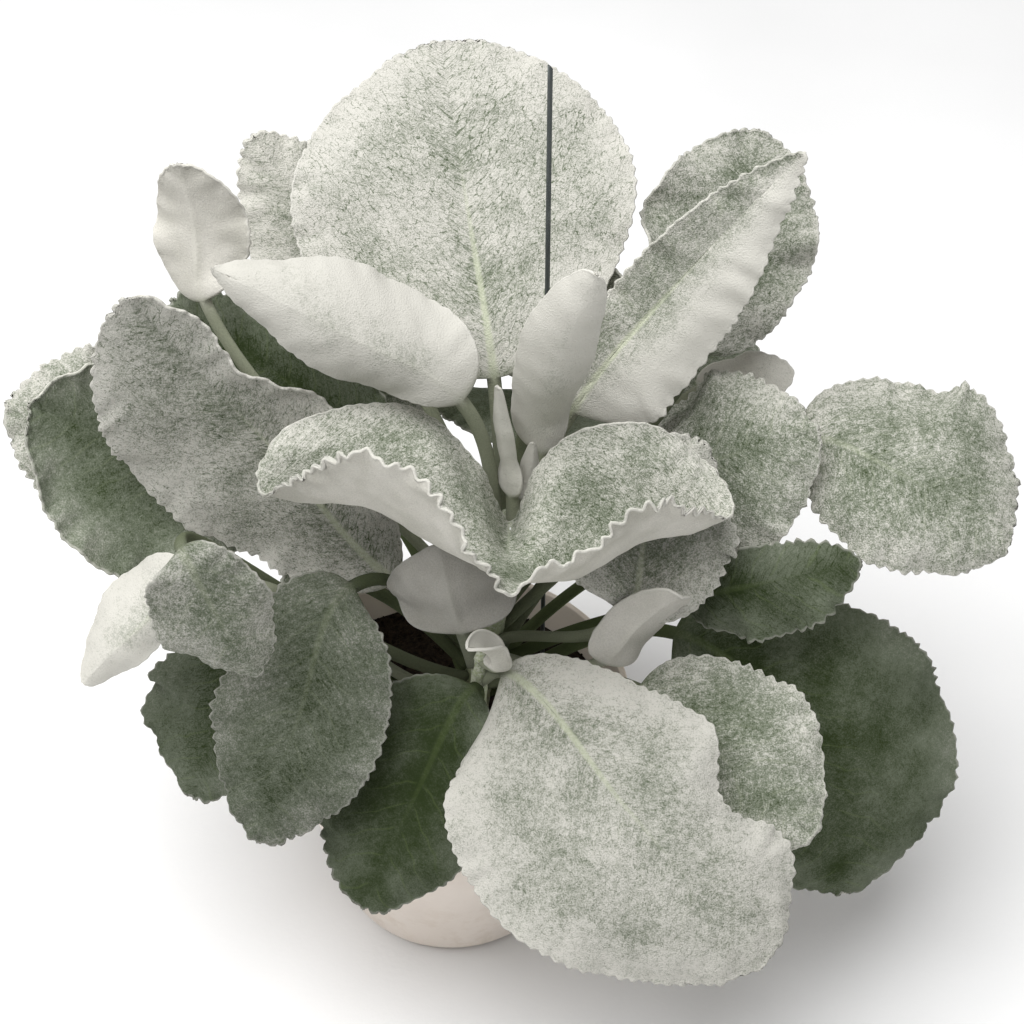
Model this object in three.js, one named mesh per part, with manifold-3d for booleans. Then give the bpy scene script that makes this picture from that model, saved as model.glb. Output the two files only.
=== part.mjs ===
// A dusty-white senecio with broad felted leaves, growing in a round plastic pot.
// Millimetres, +Z up. The origin is the centre of the pot's underside.
import * as THREE from "three";
import { mergeVertices } from "three/addons/utils/BufferGeometryUtils.js";
import Module from "manifold-3d";

// Driving dimensions
const POT = { height: 150, rim: 100, base: 62, wall: 2, lip: 4, lipHeight: 9, heel: 12, floor: 3, sides: 32 };
const DRAIN = { count: 5, radius: 5, circle: 36, sides: 8 };
const SOIL = { top: 131, mound: 5 };
const WIRE = { radius: 1.2, x: 52, y: 30, foot: 60, top: 525, sides: 8 };
const STEM = { sides: 10, steps: 3 };
const GAP = 0.3; // clearance where one piece is seated against another
const BLADE = { half: 0.55, step: 13, least: 6, most: 9, tooth: 0.04 };
const PETIOLE = { halfWidth: 3.6, halfThick: 2.4, step: 30, least: 2, most: 7, lift: 0.35 };
const RIB = 1.7; // how far the midrib stands out under the blade at its base

// The upright stems: foot in the soil, top, and the radius at each end.
const STEMS = {
  main: { foot: [6, 4, 92], top: [36, 2, 284], radius: [9.5, 6.5] },
  front: { foot: [10, -40, 100], top: [20, -54, 240], radius: [6, 4] },
};

// One entry for each leaf, all in millimetres and degrees, left and right as seen from the stem.
//   at      the height at which it leaves its stem, `lift` how steeply it rises there
//   reach   the way the petiole runs where it meets the blade, if it bends there
//   base    the lower end of the blade's midrib, and `tip` its upper end
//   arch    how far the midrib's middle stands off that straight line
//   bend    the same to the right
//   face    the way the upper side looks
//   wide    the two half widths
//   full    how square the outline is, and `belly` over 1 moves its widest place tipwards
//   heart   how far the lower lobes reach back past the petiole
//   cup     the angle at which each half rises from the midrib, as pairs evenly spaced from base to tip
//   roll    how far each half turns on from there by its margin, as the same kind of pairs
//   wave    the margin's height, number of waves and where they start on each side
//   notches side, place along the midrib, depth and spread of each bay in the outline
//   columns rows of facets from the midrib to the margin
//   felt    how thick the white felt lies, from 0 on an old green leaf to 1 on a young white one
const LEAVES = [
  {
    name: "leaf_crown_back", at: 262, base: [26, 25, 352], tip: [-1, 150, 468], arch: 4,
    face: [0.05, -0.7, 0.72], wide: [86, 84], belly: [1.05, 1.1], full: 0.55, cup: [[8, 8]],
    roll: [[-6, -6], [-14, -14]], wave: [3, 2, 0, 2], notches: [[0, 0.93, 0.08, 0.04]], felt: 0.45,
  },
  {
    name: "leaf_crown_left", at: 270, base: [10, -5, 362], tip: [-106, 10, 429], arch: 12, bend: 2,
    face: [-0.1, -0.75, 0.65], wide: [24, 43], belly: [0.9, 0.8], full: 0.78, cup: [[-10, -6]],
    roll: [[-50, -50], [-50, -70]], wave: [1.5, 2, 1, 0], columns: 3, felt: 0.95,
  },
  {
    name: "leaf_crown_right", at: 258, base: [65, 13, 341], tip: [172, 44, 471], arch: -6, bend: -3,
    face: [0.1, -0.75, 0.65], wide: [22, 38], belly: [0.95, 0.6], full: 0.85, heart: 16,
    cup: [[8, 24], [8, 20]], roll: [[0, -50]], wave: [2, 2, 0, 0], columns: 3, felt: 0.7,
  },
  {
    name: "leaf_crown_inner", at: 274, base: [50, 3, 324], tip: [73, -27, 452], arch: 6, bend: -4,
    face: [0, -0.72, 0.7], wide: [25, 15], belly: [1.0, 1.2], full: 0.5, cup: [[-4, -4]],
    roll: [[-50, -50], [-60, -60]], wave: [1, 2, 0, 1], felt: 1,
  },
  {
    name: "bud_middle", at: 278, base: [35, -5, 302], tip: [28, -5, 371], arch: 2,
    face: [-0.5, -0.7, 0.4], wide: [9, 5], belly: [0.8, 0.8], cup: [[-10, -10]],
    roll: [[-70, -70], [-60, -60]], wave: [0.5, 2, 0, 1], felt: 1,
  },
  {
    name: "bud_right", at: 266, base: [42, 0, 295], tip: [46, 1, 331], arch: 2, face: [0.2, -0.7, 0.6],
    wide: [5, 5], cup: [[-10, -10]], roll: [[-70, -70], [-60, -60]], wave: [0.5, 2, 0, 1], felt: 1,
  },
  {
    name: "leaf_right_inner", at: 193, base: [92, -52, 265], tip: [127, -4, 336], arch: 6, bend: -8,
    face: [0.1, -0.7, 0.7], lift: 0.2, wide: [36, 46], belly: [0.7, 0.9], cup: [[10, 6], [0, 0]],
    roll: [[-10, -10], [-30, -30]], wave: [3, 2, 2, 0], felt: 0.5,
  },
  {
    name: "leaf_right_mid", at: 177, base: [106, 26, 285], tip: [188, 14, 327], arch: 10,
    face: [0.15, -0.7, 0.7], wide: [46, 50], cup: [[0, 0]], roll: [[-40, -20]], wave: [3, 2, 2, 0],
    felt: 0.4,
  },
  {
    name: "leaf_right_far", at: 200, base: [183, 34, 304], tip: [283, -24, 282], arch: 16,
    face: [0.3, -0.5, 0.8], wide: [66, 46], belly: [1.1, 1.0], full: 0.5, cup: [[4, 0], [0, 0]],
    roll: [[-10, -60], [-20, -50]], wave: [3, 2, 1, 1], felt: 0.4,
  },
  {
    name: "leaf_right_back", at: 225, base: [130, 52, 348], tip: [161, 126, 431], arch: 4,
    face: [0, -0.72, 0.7], wide: [46, 42], cup: [[10, 10], [5, 5]], roll: [[30, 0], [0, -10]],
    wave: [6, 3, 1, 3], felt: 0.35,
  },
  {
    name: "leaf_behind_inner", at: 240, base: [58, 56, 313], tip: [79, 68, 395], face: [0, -0.8, 0.6],
    wide: [38, 34], cup: [[10, 10], [5, 5]], roll: [[30, 30]], wave: [1, 2, 0, 0], felt: 0.4,
  },
  {
    name: "leaf_behind_pale", at: 219, base: [133, 64, 312], tip: [180, 60, 328], arch: 3,
    face: [0, -0.72, 0.7], wide: [14, 14], cup: [[0, 0]], roll: [[-20, -20]], wave: [2, 2, 0, 0],
    felt: 0.9,
  },
  {
    name: "leaf_left_back_turned", at: 205, base: [-119, 60, 374], tip: [-126, 72, 446], arch: 5,
    face: [0.2, 0.8, 0.3], wide: [26, 24], belly: [0.95, 0.95], cup: [[5, 5]], roll: [[10, 10], [20, 20]],
    wave: [2, 2, 0, 0], felt: 0.85,
  },
  {
    name: "leaf_left_back", at: 238, base: [-15, 106, 279], tip: [-101, 160, 407], arch: 5,
    face: [0, -0.72, 0.7], wide: [38, 36], belly: [1.1, 1.1], cup: [[5, 5]],
    roll: [[-10, -10], [-20, -20]], wave: [3, 2, 0, 1], felt: 0.4,
  },
  {
    name: "leaf_left_shaded", at: 212, base: [-30, 70, 263], tip: [-140, 84, 356], arch: 6,
    face: [0, -0.72, 0.7], wide: [38, 30], cup: [[5, 5]], roll: [[-10, -10], [-20, -20]],
    wave: [3, 2, 0, 1], felt: 0.15,
  },
  {
    name: "leaf_left_great", at: 205, base: [-26, -7, 244], tip: [-142, -13, 429], arch: -8,
    face: [-0.1, -0.72, 0.68], wide: [64, 38], belly: [1.2, 1.0], cup: [[0, 6], [0, 18]],
    roll: [[-20, 10], [-30, 20]], wave: [4, 3, 0, 1], notches: [[1, 0.72, 0.42, 0.16]], felt: 0.4,
  },
  {
    name: "leaf_left_green", at: 190, base: [-83, 14, 274], tip: [-201, 4, 352], arch: -8,
    face: [-0.1, -0.7, 0.7], wide: [64, 50], belly: [1.1, 1.1], cup: [[5, 5], [8, 8]],
    roll: [[10, 10], [20, 20]], wave: [3, 2, 0, 1], felt: 0.2,
  },
  {
    name: "leaf_left_outer", at: 183, base: [-119, 42, 297], tip: [-222, 34, 323], arch: 6,
    face: [-0.1, -0.7, 0.7], wide: [50, 40], belly: [1.1, 1.1], cup: [[0, 0]],
    roll: [[-10, -10], [-20, -20]], wave: [3, 3, 0, 1], felt: 0.55,
  },
  {
    name: "leaf_left_pointed", at: 150, base: [-118, -58, 289], tip: [-177, -76, 239], arch: 8,
    face: [-0.2, -0.6, 0.75], lift: -0.35, wide: [14, 34], belly: [0.85, 0.85], cup: [[-30, -10]],
    roll: [[-30, -30]], wave: [1, 2, 0, 1], felt: 0.8,
  },
  {
    name: "leaf_left_lobed", at: 165, base: [-117, -86, 338], tip: [-86, -100, 270], arch: 8,
    face: [-0.1, -0.75, 0.65], lift: -0.3, reach: [0.3, -0.9, 0.3], wide: [26, 34],
    cup: [[-6, -6], [-15, -15]], roll: [[-10, -10], [-30, -30]], wave: [2, 2, 2, 1], felt: 0.6,
  },
  {
    name: "leaf_left_low", at: 140, base: [-97, -32, 225], tip: [-131, -72, 148], arch: 10,
    face: [-0.2, -0.6, 0.75], lift: -0.2, wide: [34, 46], cup: [[0, 0]], roll: [[-20, -20]],
    wave: [3, 3, 0, 1], felt: 0.25,
  },
  {
    name: "leaf_left_small", at: 170, base: [-50, -2, 240], tip: [-84, -8, 250], arch: 2,
    face: [0, -0.72, 0.7], wide: [10, 10], cup: [[0, 0]], roll: [[-10, -10], [-20, -20]],
    wave: [1, 2, 0, 1], felt: 0.3,
  },
  {
    name: "leaf_front_left", at: 180, base: [-45, -42, 272], tip: [-93, -115, 164], arch: 14,
    face: [-0.1, -0.7, 0.7], lift: 0.35, wide: [43, 43], belly: [0.95, 0.95], cup: [[5, 5], [0, 0]],
    roll: [[-10, -10], [-20, -20]], wave: [3, 2, 0, 1], felt: 0.35,
  },
  {
    name: "leaf_front_green", stem: "front", at: 182, base: [15, -63, 221], tip: [-42, -125, 123],
    arch: 10, face: [-0.1, -0.6, 0.75], wide: [38, 54], belly: [1.05, 1.05], cup: [[0, 0]],
    roll: [[-10, -10], [-20, -20]], wave: [3, 2, 0, 1], felt: 0.05,
  },
  {
    name: "leaf_front_great", stem: "front", at: 218, base: [32, -64, 235], tip: [156, -190, 162],
    arch: 26, face: [0.1, -0.75, 0.65], wide: [66, 82], belly: [1.4, 0.85], cup: [[6, 6], [0, 0]],
    roll: [[-20, -16], [-30, -20]], wave: [3, 2, 2, 0], notches: [[0, 0.64, 0.42, 0.13]], felt: 0.75,
  },
  {
    name: "leaf_front_right", at: 160, base: [100, -60, 217], tip: [183, -132, 189], arch: 12,
    face: [0.1, -0.72, 0.7], wide: [50, 44], belly: [1.0, 1.1], cup: [[0, 0]],
    roll: [[-10, -10], [-20, -20]], wave: [3, 2, 0, 1], felt: 0.45,
  },
  {
    name: "leaf_right_green", at: 150, base: [121, -12, 210], tip: [211, -88, 85], arch: 30, bend: -20,
    face: [0.15, -0.7, 0.7], wide: [84, 74], belly: [1.15, 1.0], cup: [[6, 6], [0, 0]],
    roll: [[-10, -10], [-20, -20]], wave: [5, 3, 0, 1], felt: 0.1,
  },
  {
    name: "leaf_right_dark", at: 170, base: [123, -22, 244], tip: [208, -36, 285], arch: 8,
    face: [0.1, -0.7, 0.7], wide: [18, 28], cup: [[0, 0]], roll: [[-10, -10], [-20, -20]],
    wave: [4, 3, 0, 1], felt: 0.2,
  },
  {
    name: "leaf_right_young", at: 185, base: [81, -60, 239], tip: [117, -68, 291], arch: 4,
    face: [0.2, 0.8, 0.5], lift: -0.2, wide: [17, 15], belly: [0.8, 0.8], full: 0.4, cup: [[5, 5]],
    roll: [[40, 40]], wave: [0.5, 2, 0, 1], felt: 0.9,
  },
  {
    name: "leaf_front_cupped", stem: "front", at: 226, base: [10, -54, 254], tip: [0, -44, 303], arch: -6,
    face: [0, 0.97, 0.2], wide: [40, 40], belly: [0.85, 0.85], cup: [[10, 10]], roll: [[40, 40]],
    wave: [1, 2, 0, 1], felt: 0.9,
  },
  {
    name: "leaf_front_bud", stem: "front", at: 232, base: [27, -68, 242], tip: [13, -77, 264], arch: 4,
    face: [0.1, 0.1, 1], wide: [11, 11], cup: [[10, 10], [20, 20]], roll: [[120, 120], [30, 30]],
    wave: [0.2, 2, 0, 1], felt: 1,
  },
  {
    name: "leaf_far_right_high", at: 209, base: [117, 60, 289], tip: [160, 150, 287], arch: 14,
    face: [0.3, 0.1, 0.9], wide: [38, 40], cup: [[8, 8], [4, 4]], roll: [[-10, -10], [-20, -20]],
    wave: [5, 2, 0, 1], felt: 0.4,
  },
  {
    name: "leaf_far_right_low", at: 165, base: [99, 50, 207], tip: [186, 112, 122], arch: 22,
    face: [0.5, 0.35, 0.8], wide: [60, 64], cup: [[6, 6], [0, 0]], roll: [[-10, -10], [-20, -20]],
    wave: [5, 2, 2, 1], felt: 0.2,
  },
  {
    name: "leaf_far_back_high", at: 210, base: [45, 120, 275], tip: [45, 235, 273], arch: 14,
    face: [0, 0.1, 0.95], wide: [46, 44], cup: [[8, 8], [4, 4]], roll: [[-10, -10], [-20, -20]],
    wave: [5, 2, 1, 1], felt: 0.45,
  },
  {
    name: "leaf_far_back_low", at: 160, base: [43, 100, 240], tip: [52, 215, 168], arch: 24,
    face: [0.1, 0.6, 0.8], wide: [74, 62], cup: [[6, 6], [0, 0]], roll: [[-10, -10], [-20, -20]],
    wave: [5, 2, 3, 1], felt: 0.15,
  },
  {
    name: "leaf_far_left_high", at: 197, base: [-28, 96, 252], tip: [-77, 186, 268], arch: 12,
    face: [-0.2, 0.1, 0.95], wide: [50, 52], cup: [[8, 8], [4, 4]], roll: [[-10, -10], [-20, -20]],
    wave: [5, 2, 2, 0], felt: 0.4,
  },
  {
    name: "leaf_far_left_low", at: 148, base: [-35, 75, 220], tip: [-115, 150, 140], arch: 20,
    face: [-0.5, 0.5, 0.8], wide: [56, 54], cup: [[6, 6], [0, 0]], roll: [[-10, -10], [-20, -20]],
    wave: [5, 2, 1, 3], felt: 0.2,
  },
  {
    name: "leaf_far_left_side", at: 174, base: [-75, 45, 245], tip: [-185, 75, 195], arch: 20,
    face: [-0.4, 0.2, 0.9], wide: [50, 50], cup: [[6, 6], [0, 0]], roll: [[-10, -10], [-20, -20]],
    wave: [5, 2, 0, 2], felt: 0.3,
  },
];

// The broad front leaf of the crown lies like a saddle over its petiole. Its blade is set by eleven rows
// of points from the left lobe's end to the right one's, each row going from the rear margin down through
// the hollow and up to the front margin. The middle row is the midrib.
const SADDLE = {
  name: "leaf_crown_front",
  at: 252,
  steps: 20,
  columns: 3,
  tooth: 2.4,
  felt: 0.6,
  rib: [3.4, 3.4, 2.4, 1.6, 0.9],
  rows: [
    [[-84, -28, 345], [-87, -35, 341], [-86, -43, 339], [-82, -50, 341]],
    [[-72, -18, 357], [-72, -30, 349], [-66, -44, 331], [-60, -60, 363]],
    [[-39, -3, 358], [-37, -20, 350], [-34, -50, 333], [-34, -72, 386]],
    [[-8, 2, 349], [-4, -25, 344], [-6, -60, 322], [-1, -84, 376]],
    [[18, -8, 323], [18, -34, 320], [15, -70, 317], [12, -98, 357]],
    [[34, -10, 287], [33, -42, 299], [32, -76, 315], [32, -104, 330]],
    [[48, -8, 324], [48, -34, 316], [47, -70, 306], [49, -98, 336]],
    [[68, -8, 346], [69, -25, 330], [68, -60, 299], [71, -86, 340]],
    [[102, -6, 348], [101, -20, 336], [98, -50, 311], [99, -74, 357]],
    [[128, -12, 331], [128, -26, 328], [123, -44, 312], [122, -60, 340]],
    [[139, -27, 327], [142, -34, 324], [142, -42, 322], [138, -49, 325]],
  ],
};

const wasm = await Module();
wasm.setup();

const add = (a, b, k = 1) => a.map((v, i) => v + b[i] * k);
const size = (a) => Math.hypot(...a);
const unit = (a) => a.map((v) => v / size(a));
const cross = (a, b) => [a[1] * b[2] - a[2] * b[1], a[2] * b[0] - a[0] * b[2], a[0] * b[1] - a[1] * b[0]];
const mix = (a, b, k) => a + (b - a) * k;
const radians = THREE.MathUtils.degToRad;
const smooth = (x) => {
  const k = Math.min(1, Math.max(0, x));
  return k * k * (3 - 2 * k);
};

// A closed body from rings of points, each ring running anticlockwise seen from beyond the last one.
function loft(rings) {
  const n = rings[0].length;
  const index = [];
  const last = (rings.length - 1) * n;
  for (let i = 0; i + 1 < rings.length; i++) {
    for (let j = 0; j < n; j++) {
      const a = i * n + j;
      const b = i * n + ((j + 1) % n);
      index.push(a, b, b + n, a, b + n, a + n);
    }
  }
  for (let j = 1; j + 1 < n; j++) {
    index.push(0, j + 1, j, last, last + j, last + j + 1);
  }
  return new THREE.BufferGeometry()
    .setAttribute("position", new THREE.Float32BufferAttribute(rings.flat(2), 3))
    .setIndex(index);
}

function solidOf(geometry) {
  const bare = geometry.clone();
  bare.deleteAttribute("normal");
  bare.deleteAttribute("uv");
  const merged = mergeVertices(bare, 1e-3);
  const vertProperties = merged.attributes.position.array;
  const triVerts = new Uint32Array(merged.index.array);
  return new wasm.Manifold(new wasm.Mesh({ numProp: 3, vertProperties, triVerts }));
}

// The largest single body of a solid as a geometry: what a cut leaves beside it is scrap.
function geometryOf(solid) {
  const whole = solid.decompose().sort((a, b) => b.volume() - a.volume())[0];
  const mesh = whole.getMesh();
  return new THREE.BufferGeometry()
    .setAttribute("position", new THREE.BufferAttribute(mesh.vertProperties, 3))
    .setIndex(new THREE.BufferAttribute(mesh.triVerts, 1));
}

function stemPoint(stem, height) {
  const { foot, top } = stem;
  return add(foot, add(top, foot, -1), (height - foot[2]) / (top[2] - foot[2]));
}

function stemRadius(stem, height) {
  return mix(stem.radius[0], stem.radius[1], (height - stem.foot[2]) / (stem.top[2] - stem.foot[2]));
}

function stemSolid(stem, extra) {
  const rings = [];
  for (let i = 0; i <= STEM.steps; i++) {
    const height = mix(stem.foot[2], stem.top[2], i / STEM.steps);
    const centre = stemPoint(stem, height);
    const radius = stemRadius(stem, height) + extra;
    const ring = [];
    for (let j = 0; j < STEM.sides; j++) {
      const angle = (2 * Math.PI * j) / STEM.sides;
      ring.push(add(centre, [radius * Math.cos(angle), radius * Math.sin(angle), 0]));
    }
    rings.push(ring);
  }
  rings[0] = rings[0].map((p) => add(p, [0, 0, -extra]));
  rings[STEM.steps] = rings[STEM.steps].map((p) => add(p, [0, 0, extra]));
  return solidOf(loft(rings));
}

// The rib as three smooth stretches: petiole, lower blade and upper blade.
function ribOf(leaf) {
  const { stem = "main", at, base, tip, arch = 0, bend = 0, lift = PETIOLE.lift, face, reach } = leaf;
  const chord = unit(add(tip, base, -1));
  const right = unit(cross(chord, face));
  const up = cross(right, chord);
  const middle = add(add(add(base, add(tip, base, -1), 0.5), up, arch), right, bend);
  const heart = stemPoint(STEMS[stem], at);
  const out = unit([base[0] - heart[0], base[1] - heart[1], 0]);
  const root = add(heart, out, stemRadius(STEMS[stem], at) - 1);
  const points = [root, base, middle, tip];
  const runs = [0, 1, 2].map((i) => add(points[i + 1], points[i], -1));
  const along = runs.map(unit);
  const ways = [
    unit(add(along[0], [0, 0, lift])),
    unit(reach ?? add(along[0], along[1])),
    unit(add(along[1], along[2])),
  ];
  ways.push(unit(add(add(along[2], along[2]), ways[2], -1)));
  return { points, lengths: runs.map(size), ways, right: unit(cross(ways[1], face)) };
}

// The place on the rib and its direction, `u` running 0 to 3 over the three stretches.
function onRib(rib, u) {
  const i = Math.min(2, Math.floor(u));
  const t = u - i;
  const [p, q] = [rib.points[i], rib.points[i + 1]];
  const m = rib.ways[i].map((v) => v * rib.lengths[i]);
  const n = rib.ways[i + 1].map((v) => v * rib.lengths[i]);
  const place = p.map(
    (_, k) =>
      (2 * t ** 3 - 3 * t ** 2 + 1) * p[k] + (t ** 3 - 2 * t ** 2 + t) * m[k] +
      (3 * t ** 2 - 2 * t ** 3) * q[k] + (t ** 3 - t ** 2) * n[k],
  );
  const way = p.map(
    (_, k) =>
      (6 * t ** 2 - 6 * t) * (p[k] - q[k]) + (3 * t ** 2 - 4 * t + 1) * m[k] + (3 * t ** 2 - 2 * t) * n[k],
  );
  return { place, way: unit(way) };
}

// How far out the margin stands at b, which runs 0 to 1 from the blade's base to its tip.
function halfWidth(leaf, k, b) {
  const { wide, belly = [1, 1], full = 0.6, notches = [] } = leaf;
  let swell = b <= 0 || b >= 1 ? 0 : Math.sin(Math.PI * b ** belly[k]) ** full;
  for (const [side, where, depth, spread] of notches) {
    if (side === k) {
      swell *= 1 - depth * Math.exp(-(((b - where) / spread) ** 2));
    }
  }
  return Math.max(PETIOLE.halfWidth * (1 - smooth(b * 2)), 1.2) + wide[k] * swell;
}

// A value of side k read at b from pairs that stand evenly spaced from the blade's base to its tip.
function between(pairs, k, b) {
  const x = Math.max(0, b) * (pairs.length - 1);
  const i = Math.min(pairs.length - 2, Math.floor(x));
  return i < 0 ? pairs[0][k] : mix(pairs[i][k], pairs[i + 1][k], smooth(x - i));
}

// One point of the leaf's middle surface and its normal there.
// `t` runs -1 to 1 from the left margin to the right.
function leafPoint(leaf, rib, u, t, tooth) {
  const { face, wide, heart = 0, cup, roll, wave } = leaf;
  const { place, way } = onRib(rib, u);
  const b = (u - 1) / 2;
  const k = t < 0 ? 0 : 1;
  const hand = t < 0 ? -1 : 1;
  const out = Math.abs(t);
  const overlap = way.reduce((sum, v, i) => sum + v * rib.right[i], 0);
  const side = u < 1 ? unit(add(rib.right, way, -overlap)) : unit(cross(way, face));
  const up = cross(side, way);
  const grown = smooth(b * 4);
  const bare = halfWidth(leaf, k, b);
  const width = bare * (1 + tooth * out ** 4);
  const rise = radians(between(cup, k, b)) * grown;
  const turn = radians(between(roll, k, b)) * grown + 1e-6;
  const end = rise + turn * out;
  const across = (width / turn) * (Math.sin(end) - Math.sin(rise));
  const height = (width / turn) * (Math.cos(rise) - Math.cos(end));
  const [amount, waves, ...start] = wave;
  const swing = Math.sin(2 * Math.PI * waves * b + start[k]) * Math.sin(Math.PI * Math.max(0, b));
  const back = heart * ((out * bare) / wide[k]) ** 2 * (1 - b) ** 2 * grown;
  const normal = unit(add(up.map((v) => v * Math.cos(end)), side, -hand * Math.sin(end)));
  const point = add(add(add(place, side, hand * across), up, height), way, -back);
  return { point: add(point, normal, amount * out ** 2 * swing), normal };
}

// A blade is one patch of points, laid out once and lifted to both faces. The margins have twice as many
// points as the lines inside, one for each tooth and one for each hollow between teeth. `facesAt` gives
// the points of the two faces.
function patchSolid(stations, columns, tooth, facesAt) {
  const top = [];
  const under = [];
  const put = (u, j, pull) => {
    const [above, below] = facesAt(u, Math.sign(j) * (Math.abs(j) / columns) ** 0.9, pull);
    top.push(above);
    under.push(below);
    return top.length - 1;
  };
  const rows = stations.map((u) => {
    const row = [];
    for (let j = -columns; j <= columns; j++) {
      row.push(put(u, j, Math.abs(j) === columns ? tooth : 0));
    }
    return row;
  });
  const faces = [];
  const n = 2 * columns;
  const left = [];
  const right = [];
  for (let i = 0; i + 1 < rows.length; i++) {
    const [near, far] = [rows[i], rows[i + 1]];
    const middle = (stations[i] + stations[i + 1]) / 2;
    for (let j = 1; j + 1 < n; j++) {
      faces.push([near[j], near[j + 1], far[j + 1]], [near[j], far[j + 1], far[j]]);
    }
    const l = put(middle, -columns, -tooth);
    const r = put(middle, columns, -tooth);
    faces.push([near[0], near[1], l], [near[1], far[1], l], [far[1], far[0], l]);
    faces.push([near[n - 1], near[n], r], [near[n - 1], r, far[n - 1]], [far[n - 1], r, far[n]]);
    left.push(near[0], l);
    right.push(near[n], r);
  }
  const [first, last] = [rows[0], rows[rows.length - 1]];
  const ends = [...last.slice(1).reverse(), last[0]];
  const rim = [...first.slice(0, -1), ...right, ...ends, ...left.slice(1).reverse()];
  const index = [];
  const count = top.length;
  for (const [a, b, c] of faces) {
    index.push(a, b, c, count + a, count + c, count + b);
  }
  rim.forEach((a, i) => {
    const b = rim[(i + 1) % rim.length];
    index.push(a, count + a, count + b, a, count + b, b);
  });
  const geometry = new THREE.BufferGeometry();
  geometry.setAttribute("position", new THREE.Float32BufferAttribute([...top, ...under].flat(), 3));
  return solidOf(geometry.setIndex(index));
}

// The petiole is a thick strip that thins out into the blade; under the blade's middle line its rib goes on.
function leafSolid(leaf, extra = 0, onlyPetiole = false) {
  const rib = ribOf(leaf);
  const stepsFor = ({ step, least, most }, length) => {
    return Math.min(most, Math.max(least, Math.round(length / step)));
  };
  const steps = stepsFor(BLADE, size(add(leaf.tip, leaf.base, -1)));
  const petioleSteps = stepsFor(PETIOLE, rib.lengths[0]);
  const stations = [];
  for (let i = 0; i < petioleSteps; i++) {
    stations.push(i / petioleSteps);
  }
  for (let i = 0; i <= (onlyPetiole ? 1 : steps); i++) {
    stations.push(1 + 2 * Math.sin((Math.PI / 2) * (i / steps)) ** 1.15);
  }
  return patchSolid(stations, leaf.columns ?? 2, BLADE.tooth, (u, t, pull) => {
    const b = (u - 1) / 2;
    const { point, normal } = leafPoint(leaf, rib, u, t, b > 0 && b < 1 ? pull : 0);
    const round = PETIOLE.halfThick * Math.sqrt(1 - 0.75 * t * t);
    const flat = smooth(b * 3);
    const ribDepth = t === 0 ? RIB * (1 - Math.max(0, b)) : 0;
    const above = mix(round, BLADE.half, flat) + extra;
    const below = mix(round, BLADE.half + ribDepth, flat) + extra;
    return [add(point, normal, above), add(point, normal, -below)];
  });
}

// A smooth curve through evenly spaced points, read at x from 0 to 1.
function through(points, x) {
  const place = Math.min(0.9999, Math.max(0, x)) * (points.length - 1);
  const i = Math.floor(place);
  const t = place - i;
  const at = (k) => points[Math.min(points.length - 1, Math.max(0, k))];
  const [a, b, c, d] = [at(i - 1), at(i), at(i + 1), at(i + 2)];
  return b.map((v, k) => {
    const bend = 2 * a[k] - 5 * v + 4 * c[k] - d[k];
    const twist = 3 * v - a[k] - 3 * c[k] + d[k];
    return v + 0.5 * ((c[k] - a[k]) * t + bend * t * t + twist * t ** 3);
  });
}

function saddlePoint(x, y) {
  return through(SADDLE.rows.map((row) => through(row, y)), x);
}

function saddleSolid() {
  const stations = [];
  for (let i = 0; i <= SADDLE.steps; i++) {
    stations.push(i / SADDLE.steps);
  }
  const blade = patchSolid(stations, SADDLE.columns, SADDLE.tooth, (x, t, pull) => {
    const y = (t + 1) / 2;
    const along = add(saddlePoint(x + 0.02, y), saddlePoint(x - 0.02, y), -1);
    const across = add(saddlePoint(x, y + 0.04), saddlePoint(x, y - 0.04), -1);
    const normal = unit(cross(across, along));
    const point = add(saddlePoint(x, y), unit(across), pull * t);
    return [add(point, normal, BLADE.half), add(point, normal, -BLADE.half)];
  });
  const middle = SADDLE.rows[(SADDLE.rows.length - 1) / 2];
  const heart = stemPoint(STEMS.main, SADDLE.at);
  const path = [heart, add(heart, [0, -8, 14]), ...middle.map((p) => add(p, [0, 0, -0.9]))];
  const rings = [];
  for (let i = 0; i <= 8; i++) {
    const centre = through(path, i / 8);
    const way = unit(add(through(path, i / 8 + 0.02), through(path, i / 8 - 0.02), -1));
    const up = cross([1, 0, 0], way);
    const [radius] = through(SADDLE.rib.map((v) => [v]), i / 8);
    const ring = [];
    for (let j = 0; j < 8; j++) {
      const angle = (-Math.PI * j) / 4;
      ring.push(add(add(centre, [1, 0, 0], radius * Math.cos(angle)), up, radius * Math.sin(angle) * 0.8));
    }
    rings.push(ring);
  }
  return blade.add(solidOf(loft(rings)));
}

const part = new THREE.Group();
function place(name, geometry, color, roughness, metalness = 0) {
  const material = new THREE.MeshStandardMaterial({ color, roughness, metalness });
  const mesh = new THREE.Mesh(geometry, material);
  mesh.name = name;
  part.add(mesh);
}

function latheSolid(outline, sides) {
  const turned = new THREE.LatheGeometry(outline.map(([x, y]) => new THREE.Vector2(x, y)), sides);
  return solidOf(turned.rotateX(Math.PI / 2));
}

// The pot's wall radius at a height, outside.
const potRadius = (z) => mix(POT.base, POT.rim - POT.lip, z / POT.height);

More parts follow.
